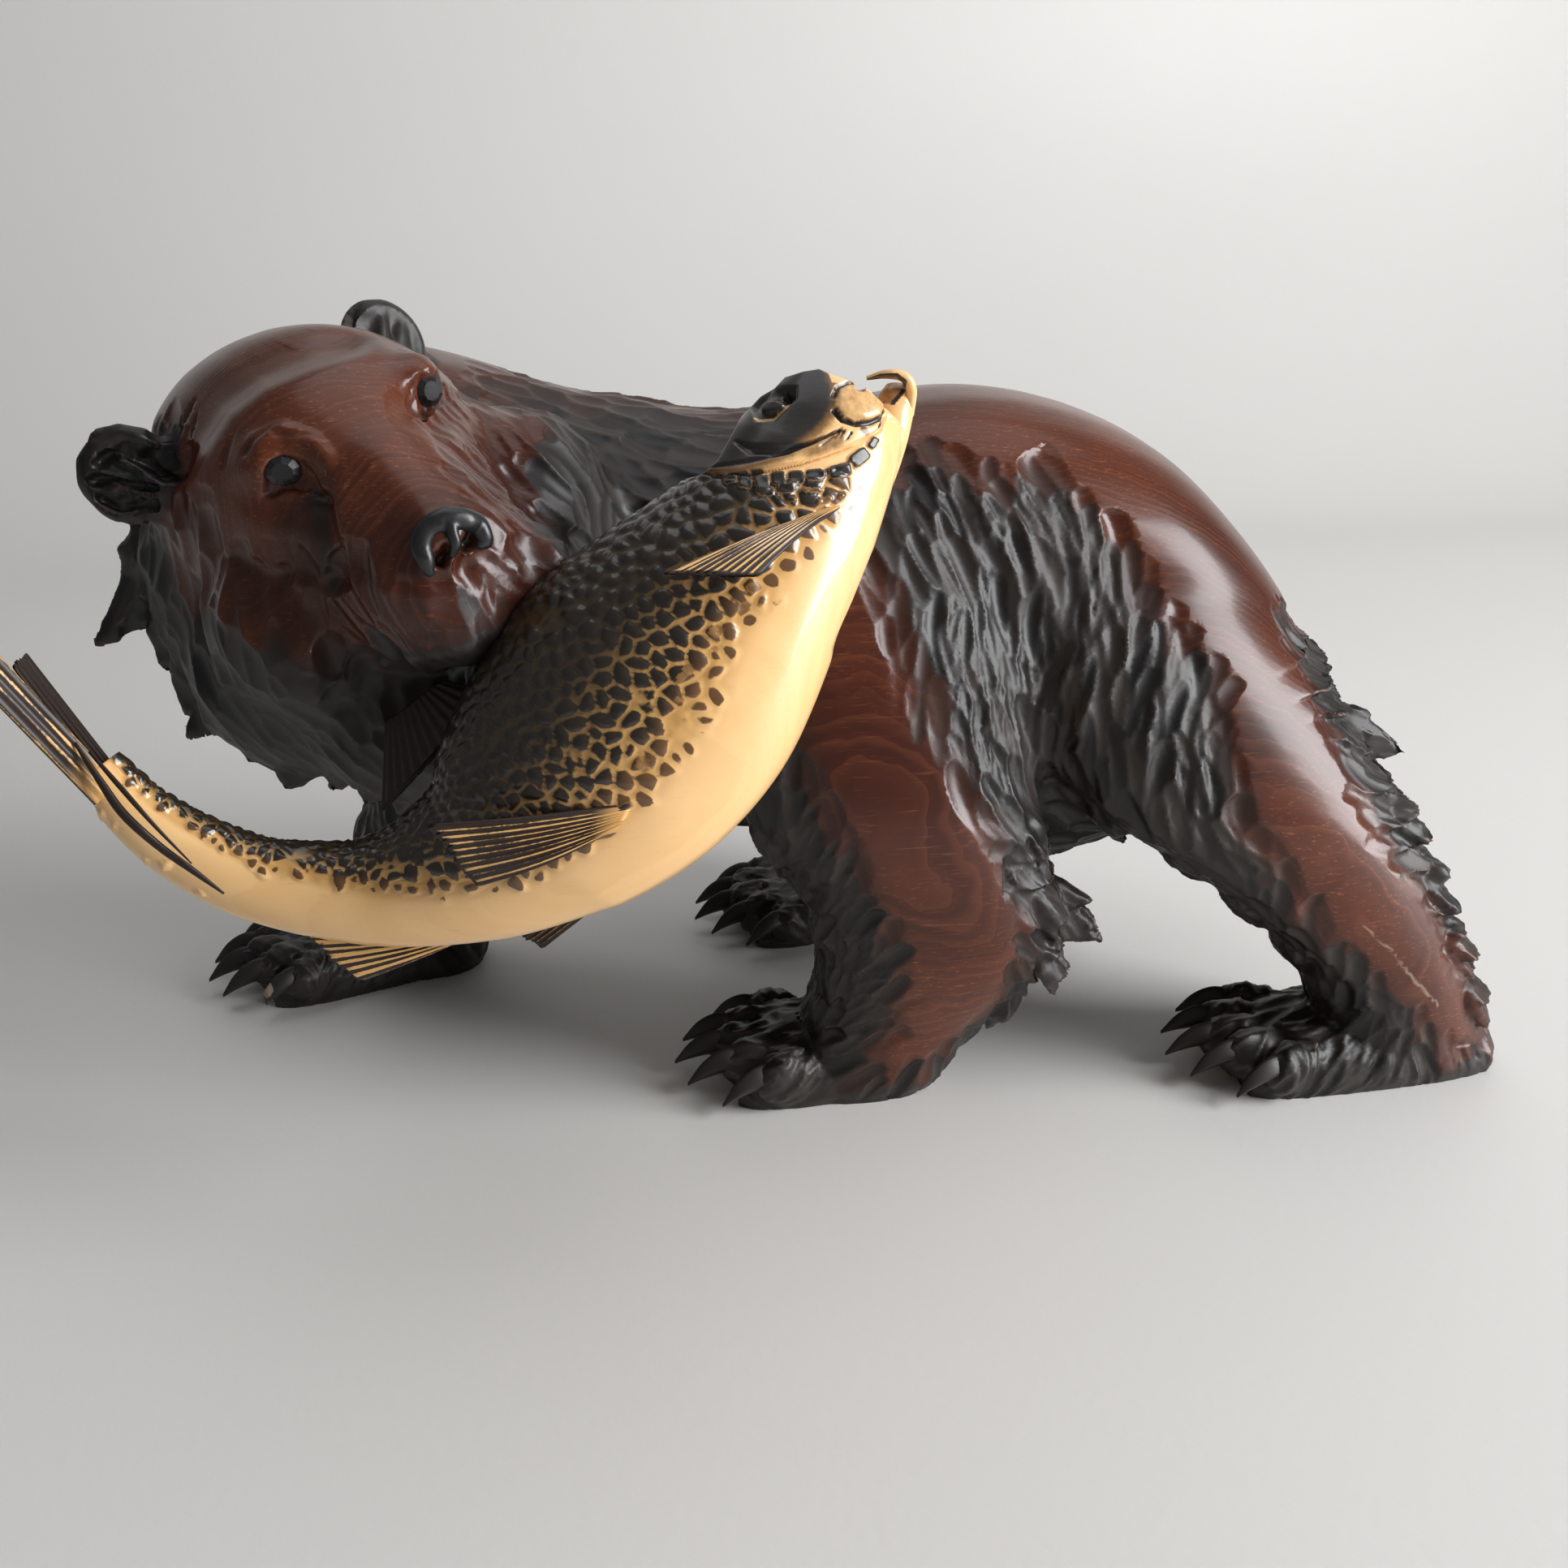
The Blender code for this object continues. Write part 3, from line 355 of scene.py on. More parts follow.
# Fins: four corners in the photo with their distance Y (foot, foot, far tip, near tip), rays, thickness, bow,
# raggedness, stain.
FINS = {
    "pectoral_fin": (((998, 637, None), (1037, 626, None), (932, 712, -0.176), (814, 708, -0.178)),
                     10, 0.0044, 0.003, 0.02, 0.10),
    "pelvic_fin": (((779, 989, None), (760, 1018, None), (583, 1096, -0.182), (522, 1016, -0.186)),
                   10, 0.0050, 0.004, 0.03, 0.42),
    "far_pelvic_fin": (((835, 1040, -0.138), (775, 1062, -0.134), (634, 1150, -0.124), (668, 1170, -0.128)),
                       6, 0.0046, 0.0, 0.02, 0.55),
    "anal_fin": (((528, 1146, -0.152), (566, 1160, -0.152), (437, 1213, -0.154), (352, 1134, -0.156)),
                 9, 0.0044, 0.001, 0.05, 0.05),
    "dorsal_fin": (((470, 1000, -0.140), (606, 850, -0.138), (545, 838, -0.124), (474, 890, -0.122)),
                   12, 0.0040, 0.0, 0.02, 1.2),
    "dark_tail_lobe": (((142, 946, -0.134), (104, 942, -0.138), (11, 817, -0.128), (31, 802, -0.122)),
                       5, 0.0046, 0.0, 0.03, 1.2),
    "pale_tail_lobe": (((116, 992, -0.146), (143, 962, -0.140), (-75, 728, -0.150), (-93, 777, -0.158)),
                       3, 0.0050, 0.0, 0.03, 0.44),
}

# Outline of the polished part of the face, and the wider one inside which the cuts are still red.
POLISHED_FACE = [
    (225, 550), (232, 615), (243, 656), (260, 680), (300, 697), (325, 713), (374, 713), (402, 729),
    (427, 705), (460, 713), (488, 722), (513, 722), (533, 724), (560, 712), (582, 697), (607, 674),
    (592, 639), (572, 611), (551, 566), (538, 525), (532, 508), (549, 494), (574, 489), (602, 474),
    (562, 425), (517, 380), (423, 376), (341, 376), (220, 390), (140, 492), (168, 541),
]
RED_FACE = [
    (222, 550), (207, 598), (211, 664), (243, 721), (276, 754), (325, 766), (374, 774), (419, 800),
    (472, 803), (529, 800), (574, 780), (623, 762), (664, 741), (686, 713), (664, 656), (656, 623),
    (670, 582), (668, 541), (639, 505), (607, 466), (562, 425), (517, 380), (423, 376), (341, 376),
    (220, 390), (140, 492), (168, 541),
]
# Part of the face that is cut with narrow strokes.
FACE_FAN = [(560, 515), (610, 575), (640, 640), (625, 720), (565, 770), (490, 790)]
LIP = [(470, 815), (500, 814), (529, 810), (574, 801), (623, 779), (664, 750), (694, 706)]
RIGHT_EYE = [
    (316, 620), (319, 584), (326, 565), (345, 555), (370, 562), (383, 583), (391, 606), (366, 606),
    (341, 610), (326, 618),
]
LEFT_EYE = [
    (503, 490), (504, 469), (518, 457), (537, 462), (553, 474), (571, 486), (549, 492), (534, 502),
    (517, 502),
]
# Marks on the face, given as those on the fish; stain below 0 is the bare amber of an edge, and the dark of
# the flute from the right eye's inner corner is painted shade.
FACE_MARKS = [
    ("line", [(205, 566), (219, 545), (255, 488), (309, 447), (374, 421), (430, 404)], 46, None, -0.0050),
    ("line", [(340, 594), (366, 594)], 62, None, -0.0040),
    ("line", [(516, 492), (534, 497)], 50, None, -0.0036),
    ("line", [(318, 545), (347, 532), (384, 546), (400, 566)], 20, None, 0.0016),
    ("patch", [(232, 600), (255, 590), (330, 700), (420, 735), (450, 800), (300, 790), (230, 740),
               (205, 640)], 34, 0.36, 0.0),
    ("patch", [(328, 616), (384, 612), (396, 700), (384, 728), (338, 722), (326, 664)], 22, 0.46, -0.0024),
    # Painted shade: the flute from the right eye's inner corner is darkened where its shadow lies.
    ("line", [(389, 618), (399, 665), (405, 716)], 25, 0.72, -0.0050),
    ("line", [(566, 520), (626, 590)], 50, None, -0.0032),
    ("line", [(470, 560), (540, 640)], 60, None, 0.0020),
    ("line", [(546, 672), (574, 656)], 46, None, 0.0035),
    ("line", [(543, 690), (548, 680)], 12, 0.30, -0.0055),
    ("line", [(574, 670), (579, 659)], 12, 0.25, -0.0055),
    ("line", [(480, 792), (529, 786), (574, 777), (620, 755), (655, 728), (680, 690)], 16, 0.45, 0.0),
    ("line", LIP, 15, 1.0, 0.0006),
    ("patch", RIGHT_EYE, 2.5, 0.35, -0.0022),
    ("patch", LEFT_EYE, 2.5, 0.10, -0.0022),
    ("line", RIGHT_EYE + RIGHT_EYE[:1], 3.5, -0.26, 0.0004),
    ("line", LEFT_EYE + LEFT_EYE[:1], 3.5, -0.20, 0.0004),
    ("line", [(391, 606), (402, 622)], 7, 0.8, -0.0020),
    ("line", [(571, 486), (582, 492)], 6, 0.7, -0.0015),
    ("line", [(122, 570), (148, 556), (178, 566), (200, 586)], 11, 1.0, -0.0036),
    ("line", [(114, 592), (150, 600), (188, 604)], 8, 1.0, -0.0030),
    ("line", [(124, 616), (150, 627), (184, 624)], 10, 1.0, -0.0030),
]
# Eyes: place, half width, half height, how far they stand out.
EYE_BALLS = {
    "right_eye": ((349, 584), (0.0068, 0.0054, 0.0046)),
    "left_eye": ((527, 481), (0.0060, 0.0066, 0.0050)),
}
# Single cuts on the head: ends, width, depth in metres.
HEAD_CUTS = [
    (262, 572, 288, 532, 18, 0.0010), (290, 548, 330, 521, 18, 0.0010), (336, 528, 388, 536, 16, 0.0009),
    (222, 514, 240, 489, 10, 0.0030), (208, 540, 222, 512, 9, 0.0030), (228, 536, 240, 510, 8, 0.0024),
    (196, 532, 208, 508, 8, 0.0022),
]
# How the strokes run on the head and neck: place, direction.
HEAD_FLOW = [
    (225, 470, -0.5, 0.9), (215, 640, -0.15, 1), (200, 720, -0.35, 1), (250, 800, 0.05, 1),
    (330, 760, 0, 1), (400, 800, 0.1, 1), (300, 900, 0.25, 1), (420, 930, 0.35, 1), (470, 720, -0.1, 1),
    (520, 760, -0.15, 1), (560, 780, 0.1, 1), (610, 760, 0.45, 1), (645, 725, 0.9, 0.7),
    (660, 680, 1, 0.35), (600, 560, 0.75, 0.65), (640, 600, 0.8, 0.6), (580, 510, 0.8, 0.6),
    (690, 560, 0.6, 0.8), (720, 640, 0.5, 0.9), (760, 520, 0.9, 0.45), (850, 510, 1, 0.2),
    (700, 480, 0.95, 0.3), (280, 600, -0.1, 1), (160, 780, -0.6, 0.9), (150, 590, 0.6, 0.6),
]
# Nose: line of its raised band, its middle prong and their half widths.
NOSE_BAND = [
    (533, 709, 5), (523, 692, 11), (519, 670, 12.5), (528, 650, 13), (546, 640, 14), (567, 638, 14),
    (586, 643, 13), (598, 656, 11), (602, 669, 8.5), (589, 675, 4.5),
]
NOSE_PRONG = [(557, 644, 9), (559, 660, 7.5), (560, 676, 6.5), (555, 687, 4)]
# The claw with a broken tip.
CHIPPED_CLAW = (302, 1240)
# Row of chatter marks with a painted highlight along the heel of the left hind leg, and one short scratch:
# line, reach in pixels.
SCRATCHES_AND_HEEL_HIGHLIGHT = [
    ([(1679, 1137), (1690, 1150), (1712, 1168), (1740, 1205), (1772, 1238)], 6),
    ([(1796, 1290), (1810, 1288)], 5),
]

# Rows of standing locks: angle round the leg from the front, number, length, lift of the tips.
LOCK_STEPS = ((0.0, 0.5), (0.2, 0.95), (0.45, 1.0), (0.7, 0.70), (0.88, 0.36), (1.0, 0.05))
# The same for a lone tuft: broad at its root and sharp at its tip.
TUFT_STEPS = ((0.0, 1.0), (0.3, 0.95), (0.6, 0.62), (0.85, 0.28), (1.0, 0.04))
LOCK_WIDTH = 0.020
LOCK_FLATNESS = 0.50
LEG_ROWS = [(14, 5, 0.030, 0.002), (150, 4, 0.030, 0.001)]
LEG_ROW_TOP = 0.128
LEG_ROW_LOW = 0.050
RUFF_EDGE = [
    (-0.264, -0.014, 0.226), (-0.264, -0.022, 0.200), (-0.250, -0.036, 0.176),
    (-0.228, -0.052, 0.158), (-0.198, -0.070, 0.148), (-0.172, -0.080, 0.146),
]
RUFF_HANG = np.array([-0.42, -0.12, -0.90])
RUFF_LENGTH = 0.036
RUFF_WIDTH = 0.030
# Share of each ruff lock that lies above its spot on the edge, lock by lock from the ear down.
RUFF_OVERLAP = (0.86, 0.70, 0.92, 0.80, 0.68, 0.90, 0.78, 0.72, 0.90, 0.82, 0.78)
# Lone tufts that break the outline: root, tip, width.
TUFTS = [
    ((0.064, -0.080, 0.088), (0.100, -0.086, 0.068), 0.032),
    ((0.2040, -0.0420, 0.1400), (0.2420, -0.0520, 0.1290), 0.030),
    ((-0.250, -0.012, 0.224), (-0.2865, -0.021, 0.1920), 0.036),
    ((-0.222, -0.036, 0.192), (-0.2550, -0.042, 0.1585), 0.036),
]

MASS_VOXEL = 0.0040
MASS_SOFTENING = 9
COAT_VOXEL = 0.00115
# Share of the coat's triangles that is kept; they are saved where the wood is smooth.
COAT_SHARE = 0.66
NOSE_VOXEL = 0.0005
# How far below the surface the pieces of the bear are closed.
CAP_DEPTH = 0.0025
# Slanting plane through the neck that parts the head from the body.
NECK_CUT = np.array([1.0, 1.0, -0.5])
NECK_CUT_PLACE = -0.215
# Corners of the block that the bear is cut from.
BEAR_BOX = ((-0.2904, -0.1562, 0.0), (0.2904, 0.1562, 0.3158))
COAT_SOFTENING = 3
# Numbers stored on the skin of the bear for its finish; bulge and hollow carry its painted shade and
# highlight, and worn partly carries a painted highlight.
VALUE_NAMES = ("char", "bulge", "worn", "facet", "hollow")
# Ragged back edge of the legs: height of one tooth, how far it stands out.
TOOTH_PITCH = 0.0125
TOOTH_REACH = 0.0052
# Height up to which the legs have teeth, and the way that the teeth lean.
TOOTH_TOPS = {"front": 0.12, "hind": 0.19}
TOOTH_WAY = np.array([1.0, 0, -0.25])

# Upper edge of the carved coat in side view: x, z. The back above it is polished.
BACK_EDGE = [
    (-0.30, 0.300), (-0.20, 0.292), (-0.12, 0.287), (-0.098, 0.283), (-0.046, 0.276), (-0.02, 0.266),
    (0.006, 0.252), (0.030, 0.259), (0.054, 0.249), (0.078, 0.252), (0.100, 0.227), (0.120, 0.200),
    (0.160, 0.190), (0.23, 0.185),
]
# Polished band on the outer face of a leg: height, its edges as shares from the front to the back.
BANDS = {
    "front": [(0.02, 0.42, 0.72), (0.050, 0.31, 0.78), (0.075, 0.27, 0.79), (0.104, 0.26, 0.84),
              (0.132, 0.25, 0.74), (0.160, 0.24, 0.63), (0.200, 0.20, 0.54), (0.235, 0.10, 0.50)],
    "hind": [(0.02, 0.62, 0.92), (0.052, 0.33, 0.89), (0.075, 0.28, 0.86), (0.100, 0.32, 0.84),
             (0.125, 0.45, 0.84), (0.155, 0.52, 0.87), (0.190, 0.55, 0.94), (0.225, 0.42, 1.10)],
}
# Point low on the flank that the strokes between the legs run to: x, z.
FLANK_FOCUS = (0.070, 0.045)

# Four sizes of gouge: spacing of the cuts, half length, half width, depth. The first cuts the round ends
# along the border of the polished wood.
THUMB_GOUGE = (0.0120, 0.0130, 0.0064, 0.0024)
WIDE_GOUGE = (0.0104, 0.0162, 0.0050, 0.0028)
MIDDLE_GOUGE = (0.0074, 0.0125, 0.0032, 0.0019)
NARROW_GOUGE = (0.0048, 0.0095, 0.0018, 0.0006)
# Cuts low on the legs are this much smaller than those on the flank.
LEG_CUT_SIZE = 0.70
# Height over which the cuts begin above the floor.
FLOOR_FADE = (0.001, 0.006)
# The drawn face lies within this distance of the middle of the head.
FACE_REACH = 0.17
# Multipliers that turn the three numbers of a box of space into one.
BOX_KEY = np.array([1, 4096, 4096 * 4096])
SEED = 7

# Pitch of the growth layers in the bear and in the fish.
BEAR_LAYER = 0.0021
FISH_LAYER = 0.0060
# Colours of the bear's wood and of its stain, and of the painted shade and highlight on its carving.
RED_DARK = (0.036, 0.0076, 0.0036)
RED_LIGHT = (0.104, 0.0255, 0.0102)
LAYER_LINE = (0.230, 0.070, 0.026)
FIBRE_DARK = (0.036, 0.009, 0.005)
FIBRE_LIGHT = (0.300, 0.110, 0.050)
PORE = (0.400, 0.150, 0.060)
AMBER_EDGE = (0.420, 0.150, 0.050)
# Painted shade: the red darkens towards this colour the deeper a cut lies.
HOLLOW_SHADE_RED = (0.030, 0.008, 0.005)
COAL_DARK = (0.0045, 0.0035, 0.0030)
COAL_LIGHT = (0.030, 0.0235, 0.0200)
COAL_THIN = (0.026, 0.010, 0.006)
# Rubbed wear and painted highlight: ridges between the cuts are lightened towards this colour.
CREST_WEAR_AND_HIGHLIGHT = (0.080, 0.048, 0.038)
# Painted shade: creases between the cuts are darkened towards this colour.
PIT_SHADE = (0.006, 0.005, 0.005)
# Bare wood of the chipped claw and the scratches; along the left hind heel it is also a painted highlight.
BARE_WOOD_AND_HIGHLIGHT = (0.480, 0.360, 0.280)
NOSE_DARK = (0.006, 0.006, 0.007)
NOSE_LIGHT = (0.020, 0.019, 0.020)
# Colours of the fish: pale wood, ink of the scales and the net between them, toasted and smoked stain.
CREAM_DEEP = (0.86, 0.500, 0.200)
CREAM_LIGHT = (0.93, 0.600, 0.280)
CREAM_LINE = (0.66, 0.34, 0.10)
CREAM_FIBRE = (0.60, 0.30, 0.09)
CREAM_SPOT = (0.62, 0.32, 0.10)
INK_DARK = (0.010, 0.008, 0.006)
INK_LIGHT = (0.034, 0.022, 0.013)
INK_THIN = (0.130, 0.060, 0.020)
NET_PALE = (0.62, 0.34, 0.11)
NET_DARK = (0.050, 0.032, 0.014)
TOAST_DARK = (0.17, 0.080, 0.024)
TOAST_LIGHT = (0.36, 0.18, 0.055)
SMOKE_DARK = (0.013, 0.012, 0.012)
SMOKE_LIGHT = (0.036, 0.029, 0.023)
FIN_DEEP = (0.42, 0.19, 0.05)
FIN_LIGHT = (0.90, 0.56, 0.20)
FIN_BROWN = (0.20, 0.085, 0.02)
FIN_INK_DARK = (0.008, 0.006, 0.005)
FIN_INK_LIGHT = (0.034, 0.016, 0.010)

# Stage: length of the level floor behind the bear, radius of the bend, reach of floor and wall.
SWEEP_START = 0.95
SWEEP_RADIUS = 0.60
SWEEP_SIZE = 3.0
PAINT = (0.705, 0.69, 0.66)
WORLD_COLOUR = (0.78, 0.80, 0.84)
WORLD_STRENGTH = 0.19
# Lights: place, what they point at, width, height, watts.
LIGHTS = {
    "window": ((1.92, -1.02, 0.98), (0, 0, 0.12), 1.05, 1.9, 90),
    "sky": ((0.1, 0.2, 1.9), (0, 0, 0.1), 1.8, 1.4, 8),
}
LIGHT_COLOUR = (0.97, 0.98, 1.0)

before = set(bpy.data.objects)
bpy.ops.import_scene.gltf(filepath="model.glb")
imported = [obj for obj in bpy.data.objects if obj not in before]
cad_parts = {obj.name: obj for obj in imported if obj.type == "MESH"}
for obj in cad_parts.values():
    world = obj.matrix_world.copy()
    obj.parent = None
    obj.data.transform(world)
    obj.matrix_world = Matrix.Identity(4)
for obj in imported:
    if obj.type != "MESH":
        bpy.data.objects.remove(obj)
CAD_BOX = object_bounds()


def unit(vectors):
    """Vectors scaled to length one."""
    vectors = np.asarray(vectors, float)
    return vectors / np.maximum(np.linalg.norm(vectors, axis=-1, keepdims=True), 1e-12)


def ramp(low, high, value):
    """S curve from 0 at low to 1 at high."""
    t = np.clip((value - low) / (high - low), 0, 1)
    return t * t * (3 - 2 * t)


def curve_rows(rows, steps):
    """Station rows with further rows on a smooth cubic curve through the given ones."""
    rows = np.array(rows, float)
    padded = np.vstack([2 * rows[0] - rows[1], rows, 2 * rows[-1] - rows[-2]])
    a, b, c, d = (padded[i:len(padded) - 3 + i, None] for i in range(4))
    t = (np.arange(steps) / steps)[None, :, None]
    line = (c - a) * t + (2 * a - 5 * b + 4 * c - d) * t ** 2 + (3 * b - a - 3 * c + d) * t ** 3
    return np.vstack([(b + 0.5 * line).reshape(-1, rows.shape[1]), rows[-1:]])


def rings(centres, sides, rises, half, up, down, power=2.3, angles=28):
    """Rounded sections: a superellipse round each centre, its height given apart above and below."""
    a = np.linspace(0, 2 * np.pi, angles, endpoint=False) if np.ndim(angles) == 0 else angles
    c, s = np.cos(a), np.sin(a)
    across = np.reshape(half, (-1, 1)) * np.sign(c) * np.abs(c) ** (2 / power)
    reach = np.where(s > 0, np.reshape(up, (-1, 1)), np.reshape(down, (-1, 1)))
    high = reach * np.sign(s) * np.abs(s) ** (2 / power)
    sides, rises = (np.broadcast_to(np.asarray(v, float), (len(across), 3)) for v in (sides, rises))
    across, high = across[..., None], high[..., None]
    return np.asarray(centres)[:, None] + sides[:, None] * across + rises[:, None] * high


def skin(sections):
    """Closed surface over rings of points: four-sided cells between them and a pole at each end."""
    rows, around = sections.shape[:2]
    index = np.arange(rows * around).reshape(rows, around)
    beside = np.roll(index, -1, axis=1)
    quads = np.stack([index[:-1], beside[:-1], beside[1:], index[1:]], -1).reshape(-1, 4)
    poles = sections[[0, -1]].mean(axis=1)
    first = np.stack([beside[0], index[0], np.full(around, rows * around)], -1)
    last = np.stack([index[-1], beside[-1], np.full(around, rows * around + 1)], -1)
    return np.vstack([sections.reshape(-1, 3), poles]), [quads, np.vstack([first, last])]


def joined(shapes):
    """Several shapes as one list of points and faces."""
    points, faces, start = [], [], 0
    for spots, cells in shapes:
        points.append(spots)
        faces += [cell + start for cell in cells]
        start += len(spots)
    return np.vstack(points), faces


def outward(points, faces):
    """The faces turned so that the volume they close is positive."""
    volume = 0.0
    for cell in faces:
        for k in range(1, cell.shape[1] - 1):
            a, b, c = points[cell[:, 0]], points[cell[:, k]], points[cell[:, k + 1]]
            volume += np.sum(a * np.cross(b, c))
    return faces if volume > 0 else [cell[:, ::-1] for cell in faces]


def joined_outward(shapes):
    """Several shapes as one, each turned outward."""
    return joined([(spots, outward(spots, cells)) for spots, cells in shapes])


def add_mesh(name, points, faces):
    """Mesh object from an array of points and arrays of three- and four-sided faces."""
    mesh = bpy.data.meshes.new(name)
    corners = np.concatenate([f.ravel() for f in faces]).astype(np.int32)
    sizes = np.concatenate([np.full(len(f), f.shape[1]) for f in faces])
    mesh.vertices.add(len(points))
    mesh.vertices.foreach_set("co", np.asarray(points, np.float32).ravel())
    mesh.loops.add(len(corners))
    mesh.loops.foreach_set("vertex_index", corners)
    mesh.polygons.add(len(sizes))
    mesh.polygons.foreach_set("loop_start", (np.cumsum(sizes) - sizes).astype(np.int32))
    mesh.update(calc_edges=True)
    mesh.shade_smooth()
    made = bpy.data.objects.new(name, mesh)
    bpy.context.scene.collection.objects.link(made)
    return made


def evaluated_arrays(made):
    """Points, faces and stored numbers of an object after its modifiers; the object is removed."""
    view = bpy.context.evaluated_depsgraph_get()
    mesh = bpy.data.meshes.new_from_object(made.evaluated_get(view))
    points = np.empty(len(mesh.vertices) * 3, np.float32)
    mesh.vertices.foreach_get("co", points)
    corners = np.empty(len(mesh.loops), np.int32)
    mesh.loops.foreach_get("vertex_index", corners)
    faces = corners.reshape(len(mesh.polygons), -1)
    values = {}
    for name in VALUE_NAMES:
        if name in mesh.attributes:
            values[name] = np.empty(len(mesh.vertices), np.float32)
            mesh.attributes[name].data.foreach_get("value", values[name])
    bpy.data.objects.remove(made, do_unlink=True)
    bpy.data.meshes.remove(mesh)
    return points.reshape(-1, 3).astype(float), faces, values


def fused(shape, voxel, rounds, levels=0):
    """Overlapping forms fused into one skin, softened, and divided for a smooth surface."""
    made = add_mesh("fusing", *shape)
    remesh = made.modifiers.new("Fuse", "REMESH")
    remesh.mode = "VOXEL"
    remesh.voxel_size = voxel
    soften = made.modifiers.new("Soften", "SMOOTH")
    soften.iterations = rounds
    if levels:
        divide = made.modifiers.new("Divide", "SUBSURF")
        divide.levels = divide.render_levels = levels
    return evaluated_arrays(made)[:2]


def thinned(points, quads, values):
    """The skin with fewer triangles, which are saved where it is smooth, and its stored numbers."""
    made = add_mesh("thinning", points, [quads])
    set_values(made.data, values)
    thin = made.modifiers.new("Thin", "DECIMATE")
    thin.ratio = COAT_SHARE
    thin.use_collapse_triangulate = True
    return evaluated_arrays(made)


def normals_of(points, cells):
    """Unit normal of each point: the sum of the crossed diagonals of the faces round it."""
    crossed = np.cross(points[cells[:, 2]] - points[cells[:, 0]], points[cells[:, -1]] - points[cells[:, 1]])
    flat = cells.ravel()
    each = np.repeat(crossed, cells.shape[1], axis=0)
    return unit(np.stack([np.bincount(flat, each[:, k], len(points)) for k in range(3)], -1))


def neighbour_mean(values, quads):
    """Mean of the values at the points that share an edge with each point."""
    a = quads.ravel()
    b = np.roll(quads, -1, axis=1).ravel()
    count = np.bincount(a, minlength=len(values)) + np.bincount(b, minlength=len(values))
    columns = values.reshape(len(values), -1)
    total = [np.bincount(a, c[b], len(values)) + np.bincount(b, c[a], len(values)) for c in columns.T]
    return (np.stack(total, -1) / count[:, None]).reshape(values.shape)


def lumps(points, size, seed):
    """Smooth random field from 0 to 1: random values at grid corners, blended along an S curve."""
    q = points / size + 37.7 * seed
    cell = np.floor(q).astype(np.int64)
    t = q - cell
    t = t * t * (3 - 2 * t)
    total = np.zeros(len(points))
    for corner in np.ndindex(2, 2, 2):
        key = (cell + corner) * np.array([73856093, 19349663, 83492791])
        mixed = (key[:, 0] ^ key[:, 1] ^ key[:, 2] ^ (seed * 7919)) & 0x7FFFFFFF
        mixed = (mixed * 1103515245 + 12345) & 0x7FFFFFFF
        mixed = ((mixed ^ (mixed >> 13)) * 69069 + 5) & 0x7FFFFFFF
        weight = np.prod(np.where(corner, t, 1 - t), axis=1)
        total += weight * (mixed & 0xFFFFFF) / 0xFFFFFF
    return total


def egg(centre, radii, axes=np.eye(3), steps=14):
    """Ellipsoid skin: circles along one axis, their radius the cosine of the latitude."""
    lat = np.linspace(-np.pi / 2, np.pi / 2, steps + 2)[1:-1]
    a = np.linspace(0, 2 * np.pi, 2 * steps, endpoint=False)
    radius, height = np.cos(lat)[:, None], np.repeat(np.sin(lat)[:, None], len(a), 1)
    ball = np.stack([radius * np.cos(a), radius * np.sin(a), height], -1)
    return skin((ball * radii) @ np.asarray(axes).T + np.asarray(centre))


def horn(points, radii, flat, normal, count=12):
    """Tapering skin along a line of points, its sections flattened towards the given normal."""
    points, radii = np.asarray(points), np.asarray(radii)
    along = unit(np.gradient(points, axis=0))
    side = unit(np.cross(np.asarray(normal, float), along))
    rise = np.cross(along, side)
    return skin(rings(points, side, rise, radii, radii * flat, radii * flat, 2.0, count))


def head_axes():
    """Unit vectors of the head's frame as columns: forward, left, crown."""
    forward = unit(HEAD_FORWARD)
    left = unit(np.cross(HEAD_CROWN, forward))
    return np.stack([forward, left, np.cross(forward, left)], 1)


HEAD = head_axes()


def from_head(points):
    """Points of the head's frame in the carver's frame."""
    return np.asarray(points) @ HEAD.T + HEAD_CENTRE


def to_head(points):
    """Points of the carver's frame in the head's frame."""
    return (points - HEAD_CENTRE) @ HEAD


def photo_place(points):
    """Where the photo shows each point: pixels to the right, pixels down."""
    off = np.asarray(points) - CAMERA_EYE
    scale = PHOTO_FOCUS / (off @ CAMERA_VIEW)
    return PHOTO_SIZE / 2 + off @ CAMERA_RIGHT * scale, PHOTO_SIZE / 2 - off @ CAMERA_UP * scale


def photo_way(right, down):
    """Directions in space of steps to the right and down in the photo."""
    return right[..., None] * CAMERA_RIGHT - down[..., None] * CAMERA_UP


def from_photo(x, y, plane):
    """Points that the photo shows at the given pixels, on the upright plane Y = plane."""
    right, down = ((np.asarray(part) - PHOTO_SIZE / 2) / PHOTO_FOCUS for part in (x, y))
    ray = photo_way(right, down) + CAMERA_VIEW
    return CAMERA_EYE + ray * ((plane - CAMERA_EYE[1]) / ray[..., 1])[..., None]


def near_line(x, y, path):
    """Distance in pixels from each place to a line of straight runs."""
    nearest = np.full(np.shape(x), 9999.0)
    path = np.array(path, float)
    for (x0, y0), (x1, y1) in zip(path[:-1], path[1:]):
        dx, dy = x1 - x0, y1 - y0
        t = np.clip(((x - x0) * dx + (y - y0) * dy) / (dx * dx + dy * dy), 0, 1)
        nearest = np.minimum(nearest, np.hypot(x - x0 - t * dx, y - y0 - t * dy))
    return nearest


